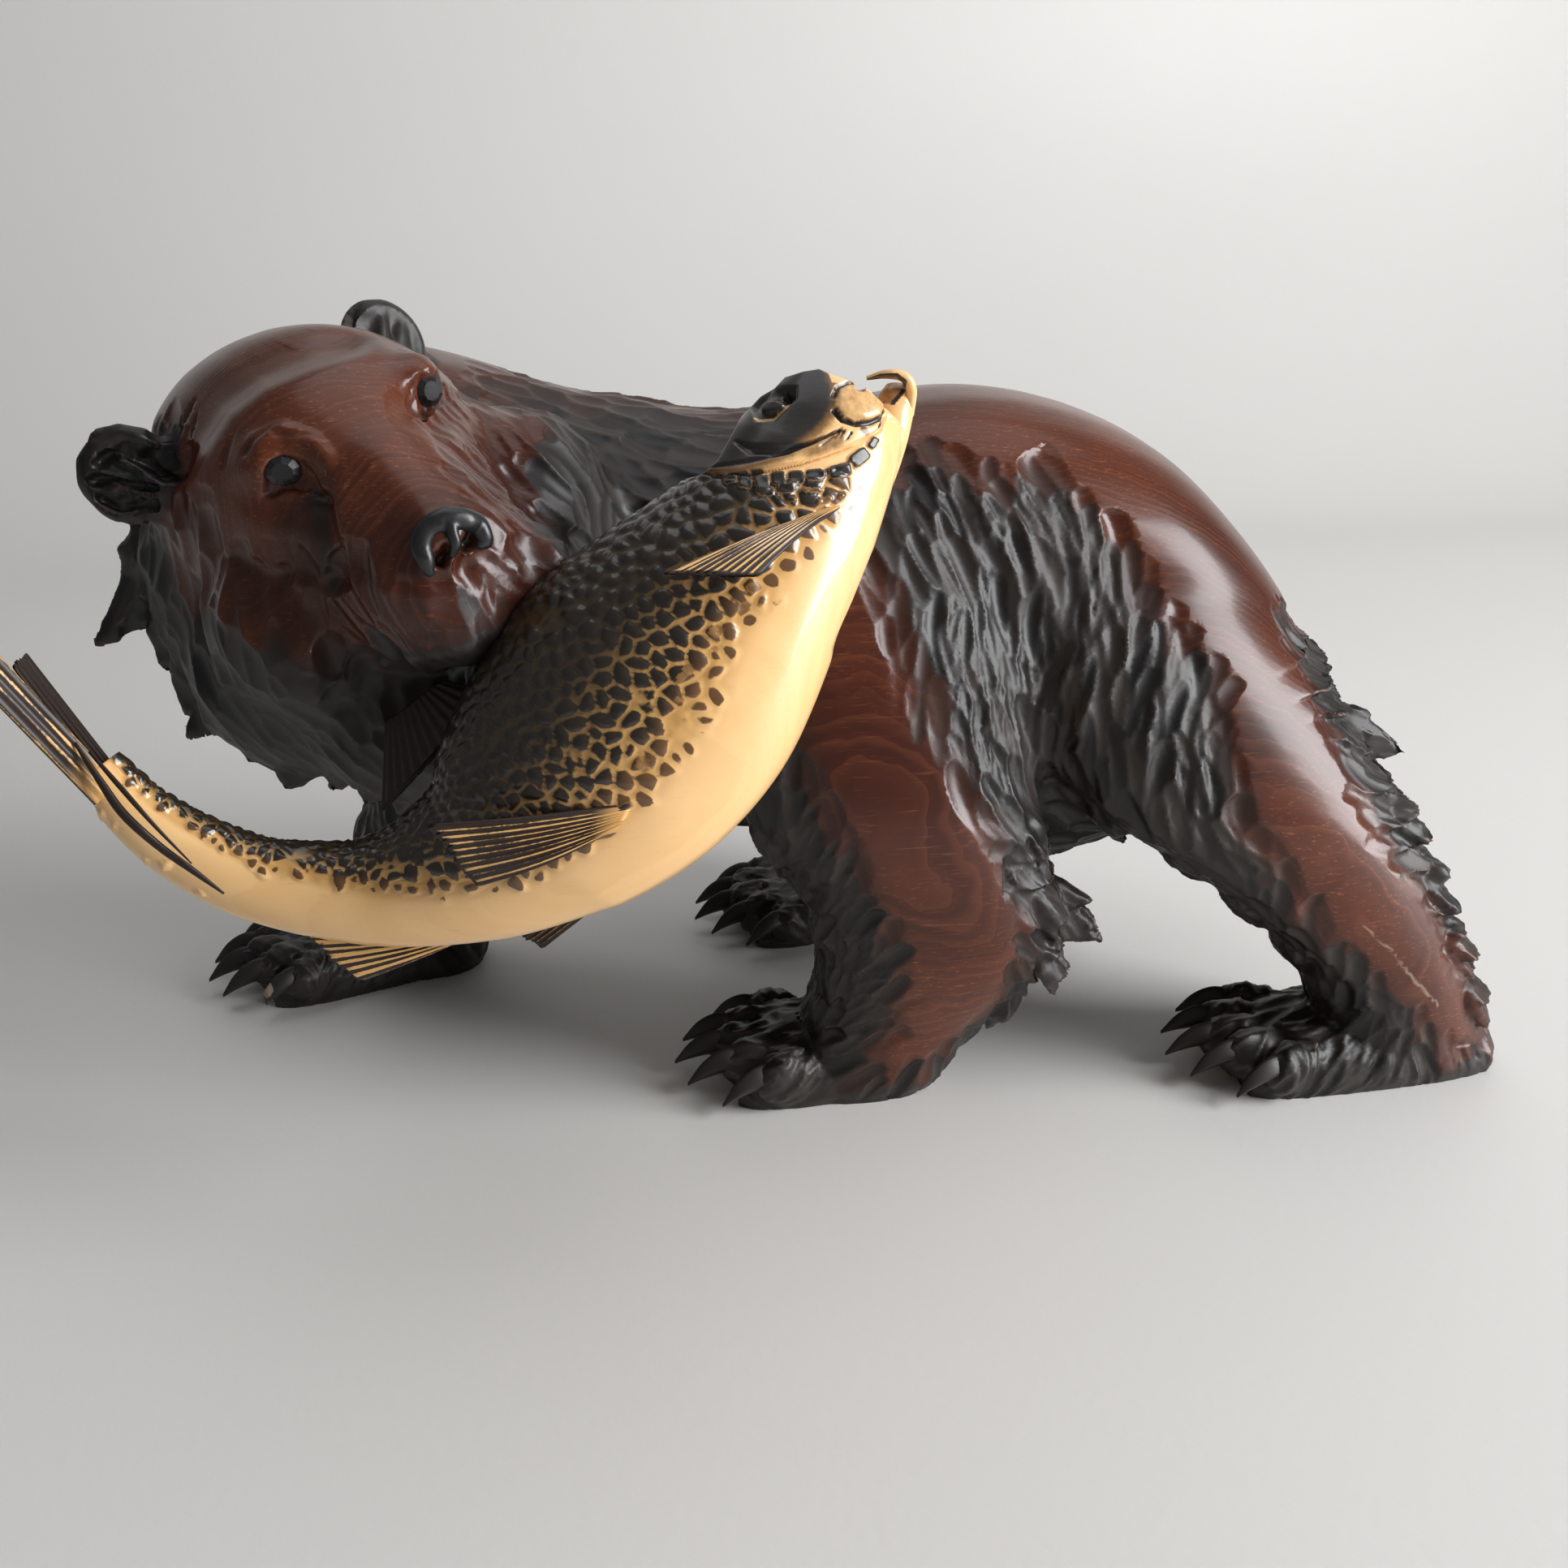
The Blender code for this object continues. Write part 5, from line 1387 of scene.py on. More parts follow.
def split_bear(points, quads, values, material):
    """The bear as head and three pieces along X.

    Each is closed where the next begins and keeps the normals of the whole.
    """
    normals = normals_of(points, quads)
    middle = points[quads].mean(axis=1)
    body = middle @ NECK_CUT > NECK_CUT_PLACE
    cuts = np.quantile(middle[body, 0], [1 / 3, 2 / 3])
    part = np.where(body, 1 + np.searchsorted(cuts, middle[:, 0]), 0)
    for k, name in enumerate(("head", "shoulders", "flanks", "haunches")):
        cells = quads[part == k]
        used, flat = np.unique(cells, return_inverse=True)
        cells = flat.reshape(cells.shape)
        copied, ends = caps(cells, points[used], normals[used])
        sunk = points[used[copied]] - normals[used[copied]] * CAP_DEPTH
        spots = np.vstack([points[used], sunk])
        used = np.append(used, used[copied])
        made = add_mesh("bear_" + name, spots + CARVER_ORIGIN, [cells] + ends)
        made.data.normals_split_custom_set_from_vertices(normals[used].astype(np.float32))
        set_values(made.data, {key: value[used] for key, value in values.items()})
        finish_piece(made, material)


def caps(cells, points, normals):
    """Closed ends for the open rims of a skin: the points that are copied and the new faces.

    Each end is a strip down to a copy of the rim below the surface, and a fill of that copy.
    """
    a = cells.ravel()
    b = np.roll(cells, -1, axis=1).ravel()
    count = len(points)
    forward = a.astype(np.int64) * count + b
    backward = b.astype(np.int64) * count + a
    rim = ~np.isin(forward, backward)
    follow = dict(zip(b[rim].tolist(), a[rim].tolist()))
    copied, filled = np.empty(0, int), []
    while follow:
        start, spot = follow.popitem()
        loop = [start]
        while spot != start and spot in follow:
            loop.append(spot)
            spot = follow.pop(spot)
        loop = np.array(loop)
        if len(loop) > 2:
            line = points[loop] - normals[loop] * CAP_DEPTH
            low = count + len(copied) + np.arange(len(loop))
            copied = np.append(copied, loop)
            filled.append(np.stack([loop, np.roll(loop, -1), np.roll(low, -1), low], -1))
            corners = np.array(tessellate_polygon([line.tolist()]))
            area = np.cross(line, np.roll(line, -1, axis=0)).sum(axis=0)
            first, second, third = (line[corners[:, k]] for k in range(3))
            way = np.cross(second - first, third - first)
            filled.append(low[corners if way.sum(axis=0) @ area > 0 else corners[:, ::-1]])
    return copied, filled


def feed(made, **inputs):
    """Fill the named settings and inputs of a shader node: a socket links, anything else is a value."""
    for name, value in inputs.items():
        if hasattr(made, name):
            setattr(made, name, value)
            continue
        socket = made.inputs[int(name[1:])] if name[0] == "_" else made.inputs[name.replace("_", " ")]
        if isinstance(value, bpy.types.NodeSocket):
            made.id_data.links.new(value, socket)
        else:
            socket.default_value = value
    return made


def node(tree, kind, **inputs):
    """New shader node with its settings and inputs."""
    return feed(tree.nodes.new(kind), **inputs)


def maths(operation, a, b=0.0):
    """Result of one sum of the shader."""
    return node(a.id_data, "ShaderNodeMath", operation=operation, _0=a, _1=b).outputs[0]


def times(a, b):
    """Product of two values."""
    return maths("MULTIPLY", a, b)


def plus(a, b):
    """Sum of two values."""
    return maths("ADD", a, b)


def swing(value, size=1.0):
    """A value from 0 to 1 moved to the range from -size / 2 to size / 2."""
    return times(maths("SUBTRACT", value, 0.5), size)


def spread(value, low, high, to_low=0.0, to_high=1.0):
    """Value moved from one range to another along an S curve."""
    ends = {"_1": low, "_2": high, "_3": to_low, "_4": to_high}
    made = node(value.id_data, "ShaderNodeMapRange", interpolation_type="SMOOTHSTEP", _0=value, **ends)
    return made.outputs[0]


def blend(share, first, second):
    """Colour between two others, each a socket or three numbers."""
    made = node(share.id_data, "ShaderNodeMix", data_type="RGBA", _0=share)
    for slot, colour in (("_6", first), ("_7", second)):
        feed(made, **{slot: colour if isinstance(colour, bpy.types.NodeSocket) else (*colour, 1)})
    return made.outputs[2]


def noise(place, scale, detail=3.0, rough=0.5):
    """Random field from 0 to 1."""
    numbers = {"Scale": scale, "Detail": detail, "Roughness": rough}
    made = node(place.id_data, "ShaderNodeTexNoise", Vector=place, **numbers)
    return made.outputs[0]


def noise_along(line, scale, detail):
    """Random numbers from 0 to 1 along a line."""
    made = node(line.id_data, "ShaderNodeTexNoise", noise_dimensions="1D", W=line, Scale=scale, Detail=detail)
    return made.outputs[0]


def stretched(place, x, y, z):
    """The place with its three parts multiplied."""
    return node(place.id_data, "ShaderNodeMapping", Vector=place, Scale=(x, y, z)).outputs[0]


def bumps(height, strength, distance):
    """Normal of a surface with fine bumps."""
    made = node(height.id_data, "ShaderNodeBump", Strength=strength, Distance=distance, Height=height)
    return made.outputs[0]


def stored(shader, name):
    """Number stored on the mesh."""
    return node(shader.id_data, "ShaderNodeAttribute", attribute_name=name).outputs["Fac"]


def start_material(name):
    """New material, its shader and the place on the piece."""
    material = bpy.data.materials.new(name)
    material.use_nodes = True
    tree = material.node_tree
    return material, tree.nodes["Principled BSDF"], node(tree, "ShaderNodeTexCoord").outputs["Object"]


def wood_figure(place, pitch):
    """Growth layers across Y, bent by soft noise: tone of the layer, line at its edge, fibres along X."""
    bend = noise(stretched(place, 2.2, 6.0, 2.2), 1.7, 3.0, 0.45)
    ripple = times(noise(place, 16.0, 3.0, 0.55), 0.014)
    layer = node(place.id_data, "ShaderNodeSeparateXYZ", Vector=place).outputs["Y"]
    layer = maths("DIVIDE", plus(plus(layer, ripple), times(bend, 0.045)), pitch)
    phase = maths("FRACT", layer)
    line = times(spread(phase, 0.40, 0.95), spread(phase, 0.95, 1.0, 1.0, 0.0))
    line = times(line, spread(noise_along(layer, 0.31, 1.0), 0.35, 0.65, 0.15, 1.0))
    return noise_along(layer, 0.9, 2.0), line, noise(stretched(place, 40.0, 900.0, 900.0), 1.0, 2.0, 0.6)


def bear_wood():
    """Red-brown lacquered wood, stained to charcoal where the coat is carved, with painted shade in cuts and
    creases and painted highlight on ridges and the left hind heel.
    """
    material, shader, place = start_material("bear_wood")
    tone, line, fibre = wood_figure(place, BEAR_LAYER)
    patch = noise(place, 9.0, 3.0, 0.55)
    red = blend(spread(plus(times(tone, 0.25), times(patch, 0.95)), 0.40, 0.82), RED_DARK, RED_LIGHT)
    red = blend(times(line, 0.24), red, LAYER_LINE)
    red = blend(spread(fibre, 0.60, 0.78, 0.0, 0.30), red, FIBRE_DARK)
    pore = spread(noise(stretched(place, 300.0, 1100.0, 1100.0), 1.0, 2.0, 0.7), 0.58, 0.74)
    red = blend(times(times(pore, spread(patch, 0.4, 0.6)), 0.40), red, PORE)
    red = blend(spread(fibre, 0.40, 0.25, 0.0, 0.25), red, FIBRE_LIGHT)
    char = stored(shader, "char")
    red = blend(spread(char, -0.05, -0.5), red, AMBER_EDGE)
    # Painted shade: the red darkens with the depth of the cut.
    red = blend(times(stored(shader, "hollow"), 0.55), red, HOLLOW_SHADE_RED)
    facet = stored(shader, "facet")
    coal = blend(spread(plus(times(patch, 0.25), times(facet, 0.75)), 0.15, 0.85), COAL_DARK, COAL_LIGHT)
    coal = blend(spread(char, 1.0, 0.55), coal, COAL_THIN)
    rag = swing(noise(place, 42.0), 0.5)
    stain = spread(plus(char, rag), 0.15, 0.75)
    colour = blend(stain, red, coal)
    bulge = stored(shader, "bulge")
    # Ridges lighter as rubbed wear and painted highlight, creases darker as painted shade.
    colour = blend(spread(bulge, 0.10, 0.36, 0.0, 0.55), colour, CREST_WEAR_AND_HIGHLIGHT)
    colour = blend(spread(bulge, -0.10, -0.45, 0.0, 0.6), colour, PIT_SHADE)
    # Pale bare wood where worn, which along the left hind heel is also a painted highlight.
    colour = blend(spread(plus(stored(shader, "worn"), rag), 0.45, 0.95, 0.0, 0.6), colour, BARE_WOOD_AND_HIGHLIGHT)
    feed(
        shader, Base_Color=colour, Roughness=plus(spread(stain, 0.0, 1.0, 0.26, 0.40), times(facet, 0.12)),
        Specular_IOR_Level=spread(stain, 0.0, 1.0, 0.28, 0.40),
        Coat_Weight=spread(stain, 0.0, 0.7, 0.30, 0.04), Coat_Roughness=0.17,
        Normal=bumps(plus(times(fibre, 0.5), times(line, 0.35)), 0.12, 0.0006),
    )
    return material


def nose_black():
    """Black lacquer with soft brush marks, for the nose and the eyes."""
    material, shader, place = start_material("nose_black")
    tone = noise(place, 260.0, 3.0, 0.6)
    feed(shader, Base_Color=blend(tone, NOSE_DARK, NOSE_LIGHT), Roughness=spread(tone, 0.2, 0.8, 0.22, 0.42),
         Normal=bumps(tone, 0.2, 0.0003))
    return material


def salmon_wood():
    """Pale lacquered wood of the fish, stained black-brown scale by scale."""
    material, shader, place = start_material("salmon_wood")
    tone, line, fibre = wood_figure(place, FISH_LAYER)
    cream = blend(times(line, 0.16), blend(tone, CREAM_DEEP, CREAM_LIGHT), CREAM_LINE)
    cream = blend(spread(fibre, 0.60, 0.80, 0.0, 0.22), cream, CREAM_FIBRE)
    cream = blend(spread(noise(place, 22.0, 4.0, 0.6), 0.60, 0.80, 0.0, 0.35), cream, CREAM_SPOT)
    worn = swing(noise(place, 420.0, 3.0, 0.6))
    ink, deep = stored(shader, "ink"), stored(shader, "deep")
    edge = plus(maths("SUBTRACT", stored(shader, "cell"), stored(shader, "ink_edge")), times(worn, 0.12))
    dark = blend(noise(place, 160.0, 2.0), INK_DARK, INK_LIGHT)
    dark = blend(spread(deep, 0.0, 0.22), INK_THIN, dark)
    net = blend(ink, cream, blend(spread(deep, 0.05, 0.70), NET_PALE, NET_DARK))
    colour = blend(times(spread(edge, -0.02, 0.06), spread(ink, 0.0, 0.12)), net, dark)
    level = plus(stored(shader, "solid_ink"), times(worn, 0.30))
    colour = blend(spread(level, 0.12, 0.50), colour, blend(noise(place, 45.0), TOAST_DARK, TOAST_LIGHT))
    colour = blend(spread(level, 0.45, 0.85), colour, blend(noise(place, 90.0), SMOKE_DARK, SMOKE_LIGHT))
    feed(shader, Base_Color=colour, Roughness=0.30, Coat_Weight=spread(level, 0.3, 0.8, 0.55, 0.22),
         Coat_Roughness=0.11, Normal=bumps(fibre, 0.12, 0.0004))
    return material


def fin_wood():
    """Pale wood of the fins with dark stripes between the rays and toasted edges."""
    material, shader, place = start_material("fin_wood")
    grain = noise(place, 700.0, 2.0, 0.6)
    darkness = stored(shader, "dark")
    cream = blend(noise(place, 40.0), FIN_DEEP, FIN_LIGHT)
    cream = blend(spread(darkness, 0.35, 0.7, 0.0, 0.75), cream, FIN_BROWN)
    shift = swing(grain, 0.45)
    level = plus(plus(stored(shader, "stripe"), shift), darkness)
    level = plus(level, swing(noise(place, 60.0, 2.0), 0.9))
    fade = maths("MAXIMUM", spread(stored(shader, "reach"), 0.02, 0.22), spread(darkness, 0.8, 0.95))
    edge = spread(plus(stored(shader, "rim"), shift), 0.35, 0.8)
    mark = maths("MAXIMUM", times(spread(level, 0.42, 0.62), fade), edge)
    feed(shader, Base_Color=blend(mark, cream, blend(grain, FIN_INK_DARK, FIN_INK_LIGHT)), Roughness=0.46,
         Specular_IOR_Level=0.35, Coat_Weight=spread(mark, 0.2, 0.8, 0.35, 0.12), Coat_Roughness=0.14)
    return material


def pale_paint():
    """Even paint with a slight tooth."""
    material, shader, place = start_material("pale_paint")
    colour = blend(noise(place, 3.0, 2.0), PAINT, tuple(part * 0.96 for part in PAINT))
    feed(shader, Base_Color=colour, Roughness=0.5, Normal=bumps(noise(place, 240.0, 2.0), 0.25, 0.0003))
    return material


def salmon_frame(steps):
    """Axis of the fish with its directions: along it, out to the flank, up to the back, and its sizes."""
    x, y, z, back, belly, thick = curve_rows(SALMON, steps).T
    axis = np.stack([x, y, z], -1)
    along = unit(-np.gradient(axis, axis=0))
    side = unit(SALMON_OUT - along * (along @ SALMON_OUT)[:, None])
    return axis, along, side, unit(np.cross(side, along)), (back, belly, thick)


def lengths_along(line):
    """Distance of each point of a line from its start."""
    return np.concatenate([[0], np.cumsum(np.linalg.norm(np.diff(line, axis=0), axis=1))])


def salmon_grid():
    """Fish surface: sections closer together round the outer flank, with the place of each point.

    The place is the distance from the snout along the axis and the angle from the outer flank
    towards the back, in degrees.
    """
    axis, along, side, rise, (back, belly, thick) = salmon_frame(SALMON_STEPS)
    t = np.linspace(0, 2 * np.pi, SALMON_ANGLES, endpoint=False)
    turn = t - 0.5 * np.sin(t)
    sections = rings(axis, side, rise, thick, back, belly, 2.1, turn)
    reach = lengths_along(axis)
    angle = np.degrees(np.where(turn > np.pi, turn - 2 * np.pi, turn))
    return sections, np.repeat(reach[:, None], len(turn), 1), np.repeat(angle[None], len(reach), 0)


def grid_normals(sections):
    """Outward unit normals of rings of points."""
    around = np.roll(sections, -1, axis=1) - np.roll(sections, 1, axis=1)
    normal = unit(np.cross(around, np.gradient(sections, axis=0)))
    outward = np.sum(normal * (sections - sections.mean(axis=1, keepdims=True)))
    return normal * np.sign(outward)


def scale_cells(sections, normals, reach, angle):
    """Which scale each point lies in, and how far it is from the edge between two scales.

    Seeds stand in staggered rows across the fish; a point belongs to its nearest seed, and its edge
    distance is half the difference between its two nearest seeds, in units of the scale size.
    """
    rng = np.random.default_rng(SEED + 1)
    spots, rows = [], np.arange(SCALE_START, reach[-1, 0], SCALE_LENGTH)
    for k, row in enumerate(rows):
        i = int(np.searchsorted(reach[:, 0], row))
        girth = lengths_along(sections[i])
        width = np.interp(row, SCALE_PLACES, (SCALE_WIDTH * 1.15, SCALE_WIDTH, SCALE_WIDTH * 0.62))
        places = np.arange(0.5 * (k % 2), girth[-1] / width) * width
        places = places + rng.normal(0, 0.12 * width, len(places))
        columns = np.searchsorted(girth, np.clip(places, 0, girth[-1]))
        rank = np.clip(i + rng.integers(-2, 3, len(columns)), 0, len(reach) - 1)
        spots.append(np.stack([rank, np.clip(columns, 0, sections.shape[1] - 1)], -1))
    spots = np.vstack(spots)
    flat = sections.reshape(-1, 3)
    seeds = spots[:, 0] * sections.shape[1] + spots[:, 1]
    along = unit(np.gradient(sections, axis=0)).reshape(-1, 3)[seeds]
    around = np.cross(normals.reshape(-1, 3)[seeds], along)
    sizes = np.interp(reach.ravel()[seeds], SCALE_PLACES, (1.0, 1.0, 0.72))
    best, second = np.full((2, len(flat)), FAR_OFF)
    owner = np.zeros(len(flat), int)
    for cell, spot in near_pairs(flat, flat[seeds], SCALE_SEARCH):
        off = flat[spot] - flat[seeds[cell]]
        u = np.sum(off * along[cell], axis=1) / (SCALE_LENGTH * sizes[cell])
        v = np.sum(off * around[cell], axis=1) / (SCALE_WIDTH * sizes[cell])
        far = np.hypot(u, v)
        order = np.argsort(-far, kind="stable")
        spot, far, cell = spot[order], far[order], cell[order]
        closest, next_best = np.full((2, len(flat)), FAR_OFF)
        np.minimum.at(closest, spot, far)
        np.minimum.at(next_best, spot, np.where(far > closest[spot], far, FAR_OFF))
        who = np.zeros(len(flat), int)
        who[spot] = cell
        better = closest < best
        second = np.minimum(np.minimum(second, next_best), np.maximum(best, closest))
        owner = np.where(better, who, owner)
        best = np.minimum(best, closest)
    edge = (second - best) / 2
    return seeds[owner].reshape(reach.shape), edge.reshape(reach.shape)


def fish_plates(x, y):
    """Cover and stain of the large plates behind the gill cover: rounded boxes."""
    cover, stain = np.zeros(np.shape(x)), np.zeros(np.shape(x))
    for middle_x, middle_y, length, width, tilt, tone in FISH_PLATES:
        u, v = oval_share(x, y, (middle_x, middle_y, length, width, tilt))
        inside = ramp(1.15, 0.55, u * u + v * v)
        stain = np.where(inside > cover, tone, stain)
        cover = np.maximum(cover, inside)
    return cover, stain


def cut_to_outline(points):
    """Points of the fish pared down where they pass the outline of its crown or its throat."""
    x, y = photo_place(points)
    pixel = np.linalg.norm(points - CAMERA_EYE, axis=-1) / PHOTO_FOCUS
    top, throat = np.array(FISH_TOP, float), np.array(FISH_THROAT, float)
    over = np.maximum(np.interp(x, top[:, 0], top[:, 1]) - y, 0) * ramp(*CROWN_START, x)
    beyond = np.maximum(x - np.interp(y, throat[:, 1], throat[:, 0]), 0) * ramp(*THROAT_START, y)
    over[x > CROWN_END] = 0
    down, left = (over * pixel * CROWN_PARING)[..., None], (beyond * pixel * THROAT_PARING)[..., None]
    return points - down * CAMERA_UP - left * CAMERA_RIGHT


def add_salmon(sections, reach, angle, material):
    """The fish: grid skin with scales on its flank and the head drawn as the photo shows it."""
    normals = grid_normals(sections)
    owner, edge = scale_cells(sections, normals, reach, angle)
    x, y = photo_place(sections)
    facing = ramp(-0.05, 0.15, towards_photo(sections, normals))
    seen = facing * (reach < HEAD_END)
    gill = loop_depth(x, y, GILL_COVER)
    stain_edge = np.array(STAIN_EDGE).T
    chance = np.random.default_rng(SEED + 2).normal(0, 3.0, reach.size)[owner]
    row, column = np.divmod(owner, reach.shape[1])
    inside = angle[0][column] - np.interp(reach[row, 0], *stain_edge) + chance
    bony = ramp(-2.0, 1.5, gill) * seen + ramp(0.050, 0.040, reach) * (1 - seen)
    plates, plate_stain = fish_plates(x, y)
    band = ramp(24, 16, -gill) * ramp(925, 945, x) * seen
    scaled = ramp(-14, -4, inside) * (1 - bony) * (1 - band)
    dome = 1 - np.clip(1 - edge / 0.42, 0, 1) ** 2.2
    height = SCALE_HEIGHT * dome * scaled
    height += GILL_RISE * bony
    height -= GILL_GROOVE * ramp(3.0, 0.0, np.abs(gill + 1.5)) * seen
    height += PLATE_RISE * np.sqrt(plates) * seen * (1 - bony)
    rise, head_stain = drawn(x, y, ramp(-40, 40, angle) * (1 - seen), FISH_MARKS)
    height += rise * seen * bony
    solid = head_stain * bony * seen + ramp(-20, 20, angle) * bony * (1 - seen)
    facing = facing * (1 - bony)
    belly_rise, belly_stain = drawn(x, y, np.zeros(x.shape), BELLY_MARKS)
    height += belly_rise * facing
    solid = np.maximum(solid, belly_stain * facing)
    solid = np.maximum(solid, plates * plate_stain * seen * (1 - bony))
    from_edge = angle - np.interp(reach, *stain_edge)
    values = {
        "cell": edge, "ink": ramp(-20, -4, from_edge) * (1 - bony) * (1 - band), "solid_ink": solid,
        "ink_edge": np.interp(inside, (-17, -13, -8, 0, 14), (0.60, 0.32, 0.15, 0.08, 0.055)),
        "deep": np.interp(from_edge, (-6, 56), (0, 1)),
    }
    points, faces = skin(cut_to_outline(sections + normals * height[..., None]))
    made = add_mesh("salmon_body", points + CARVER_ORIGIN, outward(points, faces))
    set_values(made.data, with_poles(values))
    finish_piece(made, material)


def fin_shape(corners, rays, thick, bow, ragged):
    """Fin between four corners: foot, foot, far tip, near tip. Rays run from the foot to the tips.

    Across the fin v runs from 0 to 1 on the outer face and back on the inner one; its thickness is a
    flat arch over v, with a ridge for each ray.
    """
    foot_a, foot_b, tip_b, tip_a = corners
    u = np.linspace(0, 1, 30)[:, None]
    v = np.linspace(0, 1, 9 * rays + 1)
    face = np.concatenate([v, v[-2:0:-1]])
    outer = np.concatenate([np.ones(len(v)), -np.ones(len(v) - 2)])
    foot = foot_a + (foot_b - foot_a) * face[:, None]
    tip = tip_a + (tip_b - tip_a) * face[:, None]
    ridge = 0.5 + 0.5 * np.cos(2 * np.pi * rays * face)
    reach = u * (1 - ragged * ridge - ragged * np.abs(np.sin(5.1 * face)))
    across = unit(foot_b - foot_a + tip_b - tip_a)
    normal = unit(np.cross(tip_a + tip_b - foot_a - foot_b, across))
    normal = normal * (1 if normal @ SALMON_OUT > 0 else -1)
    arch = np.clip(4 * face * (1 - face), 0, 1) ** 0.35
    swell = thick * (1 - 0.55 * u) * arch * (0.72 + 0.28 * ridge) * 0.5
    points = foot + (tip - foot) * reach[..., None]
    points = points + normal * (outer * swell + bow * np.sin(np.pi * u) * (0.4 + 0.6 * face))[..., None]
    stripe = np.repeat((1 - ridge)[None], len(u), 0)
    return points, stripe, reach, np.repeat(face[None], len(u), 0)


def add_fin(name, corners, rays, form, darkness, material):
    """One fin with its stripes."""
    sections, stripe, reach, face = fin_shape(corners, rays, *form)
    points, faces = skin(sections)
    made = add_mesh(name, points + CARVER_ORIGIN, outward(points, faces))
    rim = np.clip(ramp(0.90, 1.0, reach) + ramp(0.93, 1.0, face) + ramp(0.07, 0.0, face), 0, 1)
    tones = np.random.default_rng(SEED + len(name)).normal(0, 0.13, rays + 1)
    dark = darkness + tones[np.floor(face * rays + 0.5).astype(int)]
    set_values(made.data, with_poles({"stripe": stripe, "reach": reach, "rim": rim, "dark": dark}))
    finish_piece(made, material)


def add_fins(sections, material):
    """All fins; a corner without a given distance stands on the skin of the fish."""
    normals = grid_normals(sections).reshape(-1, 3)
    skin_points = sections.reshape(-1, 3)
    for name, (corners, rays, *form, darkness) in FINS.items():
        placed = []
        for x, y, plane in corners:
            if plane is None:
                plane = skin_points[seen_at(skin_points, normals, [x], [y])[0], 1] + FIN_SEAT
            placed.append(from_photo(x, y, plane))
        add_fin("salmon_" + name, placed, rays, form, darkness, material)


def photo_horn(rows, planes, flat, steps=8, count=32):
    """Tapering skin along a line of photo places with their half widths, on upright planes."""
    x, y, half = curve_rows(rows, steps).T
    line = from_photo(x, y, np.interp(np.linspace(0, 1, len(x)), np.linspace(0, 1, len(planes)), planes))
    return horn(line, half * PIXEL, flat, SALMON_OUT, count)


def add_jaw(material):
    """Lower jaw and the hook at its end, with the stained rim of the mouth."""
    shapes = [photo_horn(JAW, JAW_PLANES, 0.8, 16, 64), photo_horn(HOOK, HOOK_PLANES, 1.0, 16, 40)]
    points, faces = joined_outward(shapes)
    made = add_mesh("salmon_jaw", points + CARVER_ORIGIN, faces)
    _, stain = drawn(*photo_place(points), np.zeros(len(points)), FISH_MARKS[-2:])
    set_values(made.data, {"cell": 0, "ink": 0, "ink_edge": 0, "solid_ink": stain, "deep": 0})
    finish_piece(made, material)


def add_tail_rays(material):
    """Two long dark rays of the tail that lie along the body."""
    shapes = [photo_horn(rows, planes, 0.7) for rows, planes in zip(TAIL_RAYS, TAIL_RAY_PLANES)]
    points, faces = joined_outward(shapes)
    made = add_mesh("salmon_tail_rays", points + CARVER_ORIGIN, faces)
    set_values(made.data, {"stripe": 0.5, "reach": 0.5, "rim": 0, "dark": 0.5})
    finish_piece(made, material)


def claw_shape(base, way):
    """Bent claw with a sharp upper ridge: diamond sections that shrink to the tip."""
    reach, drop, share = curve_rows(CLAW_STEPS, 6).T
    line = base + way * (CLAW_LENGTH * reach)[:, None] + np.array([0, 0, 1]) * drop[:, None]
    side = np.cross(way, (0, 0, 1))
    radius = CLAW_RADIUS * share
    return skin(rings(line, side, (0, 0, 1), radius * 0.9, radius * 1.25, radius, 1.35, 20))


def add_claws(material):
    """Five claws on each paw; one on the right front paw has lost its tip and shows pale wood there."""
    for name in PAWS:
        knuckles, ways = toe_lines(name)
        bases = knuckles + ways * CLAW_SEAT[0] + np.array([0, 0, CLAW_SEAT[1]])
        shapes = [claw_shape(base, way) for base, way in zip(bases, ways)]
        tip_x, tip_y = photo_place(bases + ways * CLAW_LENGTH)
        away = np.hypot(tip_x - CHIPPED_CLAW[0], tip_y - CHIPPED_CLAW[1])
        chip = np.argmin(away)
        way = ways[chip]
        broken = name == "front_right"
        if broken:
            spots, cells = shapes[chip]
            over = np.maximum((spots - bases[chip]) @ way - CLAW_LEFT * CLAW_LENGTH, 0)
            shapes[chip] = (spots - over[:, None] * way, cells)
        points, faces = joined_outward(shapes)
        from_break = np.linalg.norm(points - bases[chip] - way * CLAW_LEFT * CLAW_LENGTH, axis=1)
        worn = 1.4 * broken * ramp(0.0045, 0.0030, from_break)
        made = add_mesh("claws_" + name, points + CARVER_ORIGIN, faces)
        set_values(made.data, {"char": 1, "bulge": 0, "worn": worn, "facet": 0.5, "hollow": 0})
        finish_piece(made, material)


def stand(made, place, axes):
    """Put a camera or a light in its place; the columns of axes are its right, up and back."""
    bpy.context.scene.collection.objects.link(made)
    matrix = np.eye(4)
    matrix[:3, :3] = axes
    matrix[:3, 3] = place
    made.matrix_world = Matrix(matrix.tolist())


def add_camera():
    """Camera at the photo's angle."""
    data = bpy.data.cameras.new("photo_camera")
    data.sensor_fit = "HORIZONTAL"
    data.sensor_width = CAMERA_SENSOR
    data.lens = CAMERA_LENS
    camera = bpy.data.objects.new("photo_camera", data)
    stand(camera, CAMERA_EYE + CARVER_ORIGIN, np.stack([CAMERA_RIGHT, CAMERA_UP, -CAMERA_VIEW], 1))
    bpy.context.scene.camera = camera


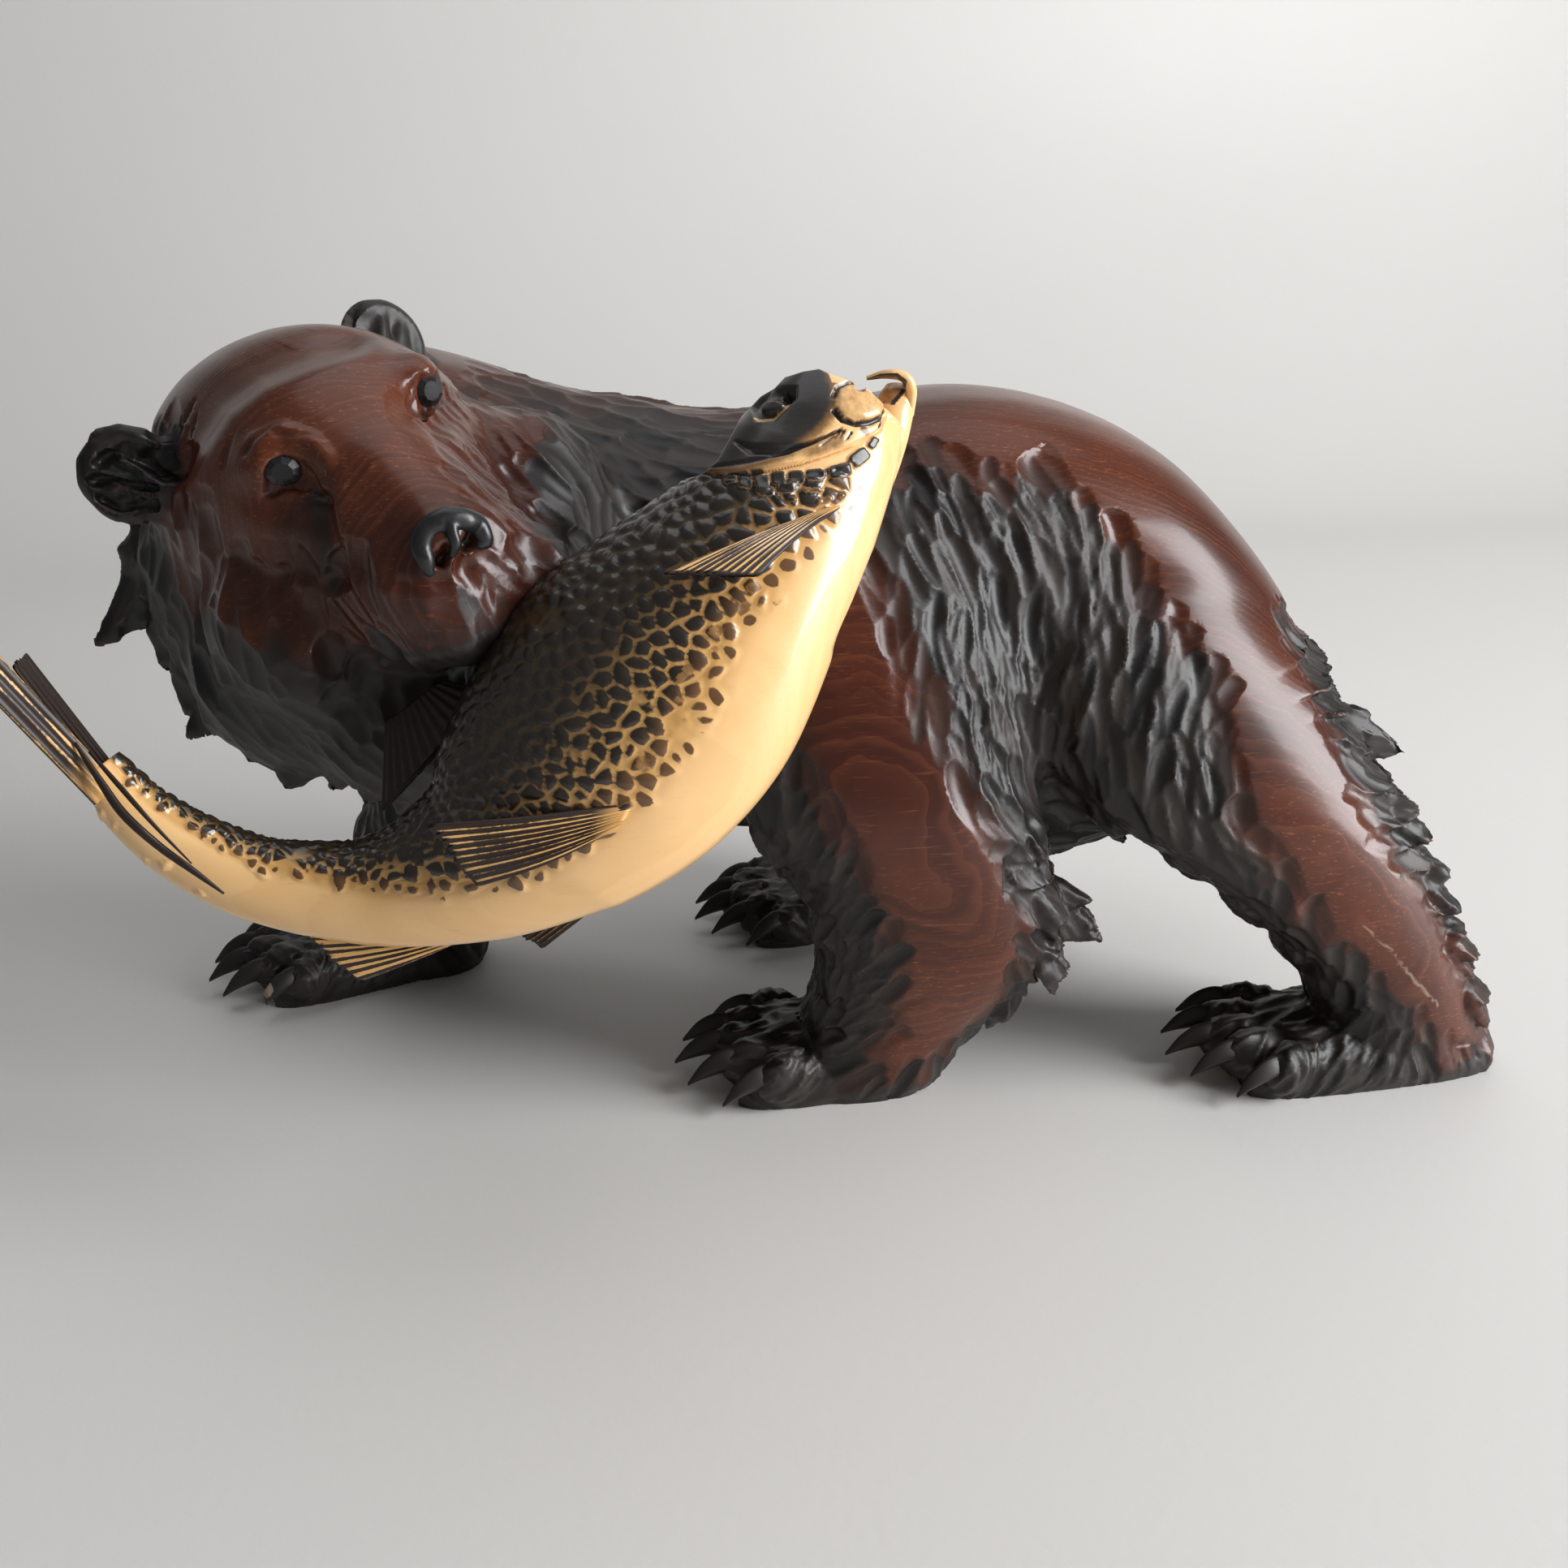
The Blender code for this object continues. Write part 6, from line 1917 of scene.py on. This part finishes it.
def add_light(name, place, target, width, height, power):
    """Soft rectangular light that points at the target."""
    data = bpy.data.lights.new(name, "AREA")
    data.shape = "RECTANGLE"
    data.size = width
    data.size_y = height
    data.energy = power
    data.color = LIGHT_COLOUR
    back = unit(np.array(place, float) - target)
    right = unit(np.cross((0, 0, 1), back))
    stand(bpy.data.objects.new(name, data), place, np.stack([right, np.cross(back, right), back], 1))


def add_stage():
    """Pale floor that sweeps up into a plain backdrop: a flat run, a quarter circle and an upright run."""
    bend = np.linspace(0, np.pi / 2, 24)
    profile = np.stack([SWEEP_START + SWEEP_RADIUS * np.sin(bend), SWEEP_RADIUS * (1 - np.cos(bend))], -1)
    profile = np.vstack([(-SWEEP_SIZE, 0), profile, (SWEEP_START + SWEEP_RADIUS, SWEEP_SIZE)])
    points = np.array([(side, y, z) for side in (-SWEEP_SIZE, SWEEP_SIZE) for y, z in profile])
    row = np.arange(len(profile) - 1)
    cells = np.stack([row, row + len(profile), row + len(profile) + 1, row + 1], -1)
    floor = add_mesh("floor_and_backdrop", points, [cells])
    floor.data.materials.append(pale_paint())
    floor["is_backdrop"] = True


def add_world():
    """Even pale light from all round."""
    world = bpy.data.worlds.new("studio")
    world.use_nodes = True
    feed(world.node_tree.nodes["Background"], _0=(*WORLD_COLOUR, 1), _1=WORLD_STRENGTH)
    bpy.context.scene.world = world


def main():
    """Build every piece, the stage, the lights and the camera."""
    points, cells, values = thinned(*carved_bear())
    wood, black = bear_wood(), nose_black()
    normals = normals_of(points, cells)
    split_bear(points, cells, values, wood)
    add_eyes(points, normals, black)
    add_nose(points, normals, black)
    pale, fins = salmon_wood(), fin_wood()
    sections, reach, angle = salmon_grid()
    add_salmon(sections, reach, angle, pale)
    add_jaw(pale)
    add_fins(sections, fins)
    add_tail_rays(fins)
    add_claws(wood)
    add_stage()
    add_world()
    bpy.context.scene.view_settings.view_transform = "Standard"
    for name, light in LIGHTS.items():
        add_light(name, *light)
    add_camera()
    boxes = {"cad": CAD_BOX, "visual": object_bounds()}
    {key: [[float(n) for n in corner] for corner in box] for key, box in boxes.items()}


main()
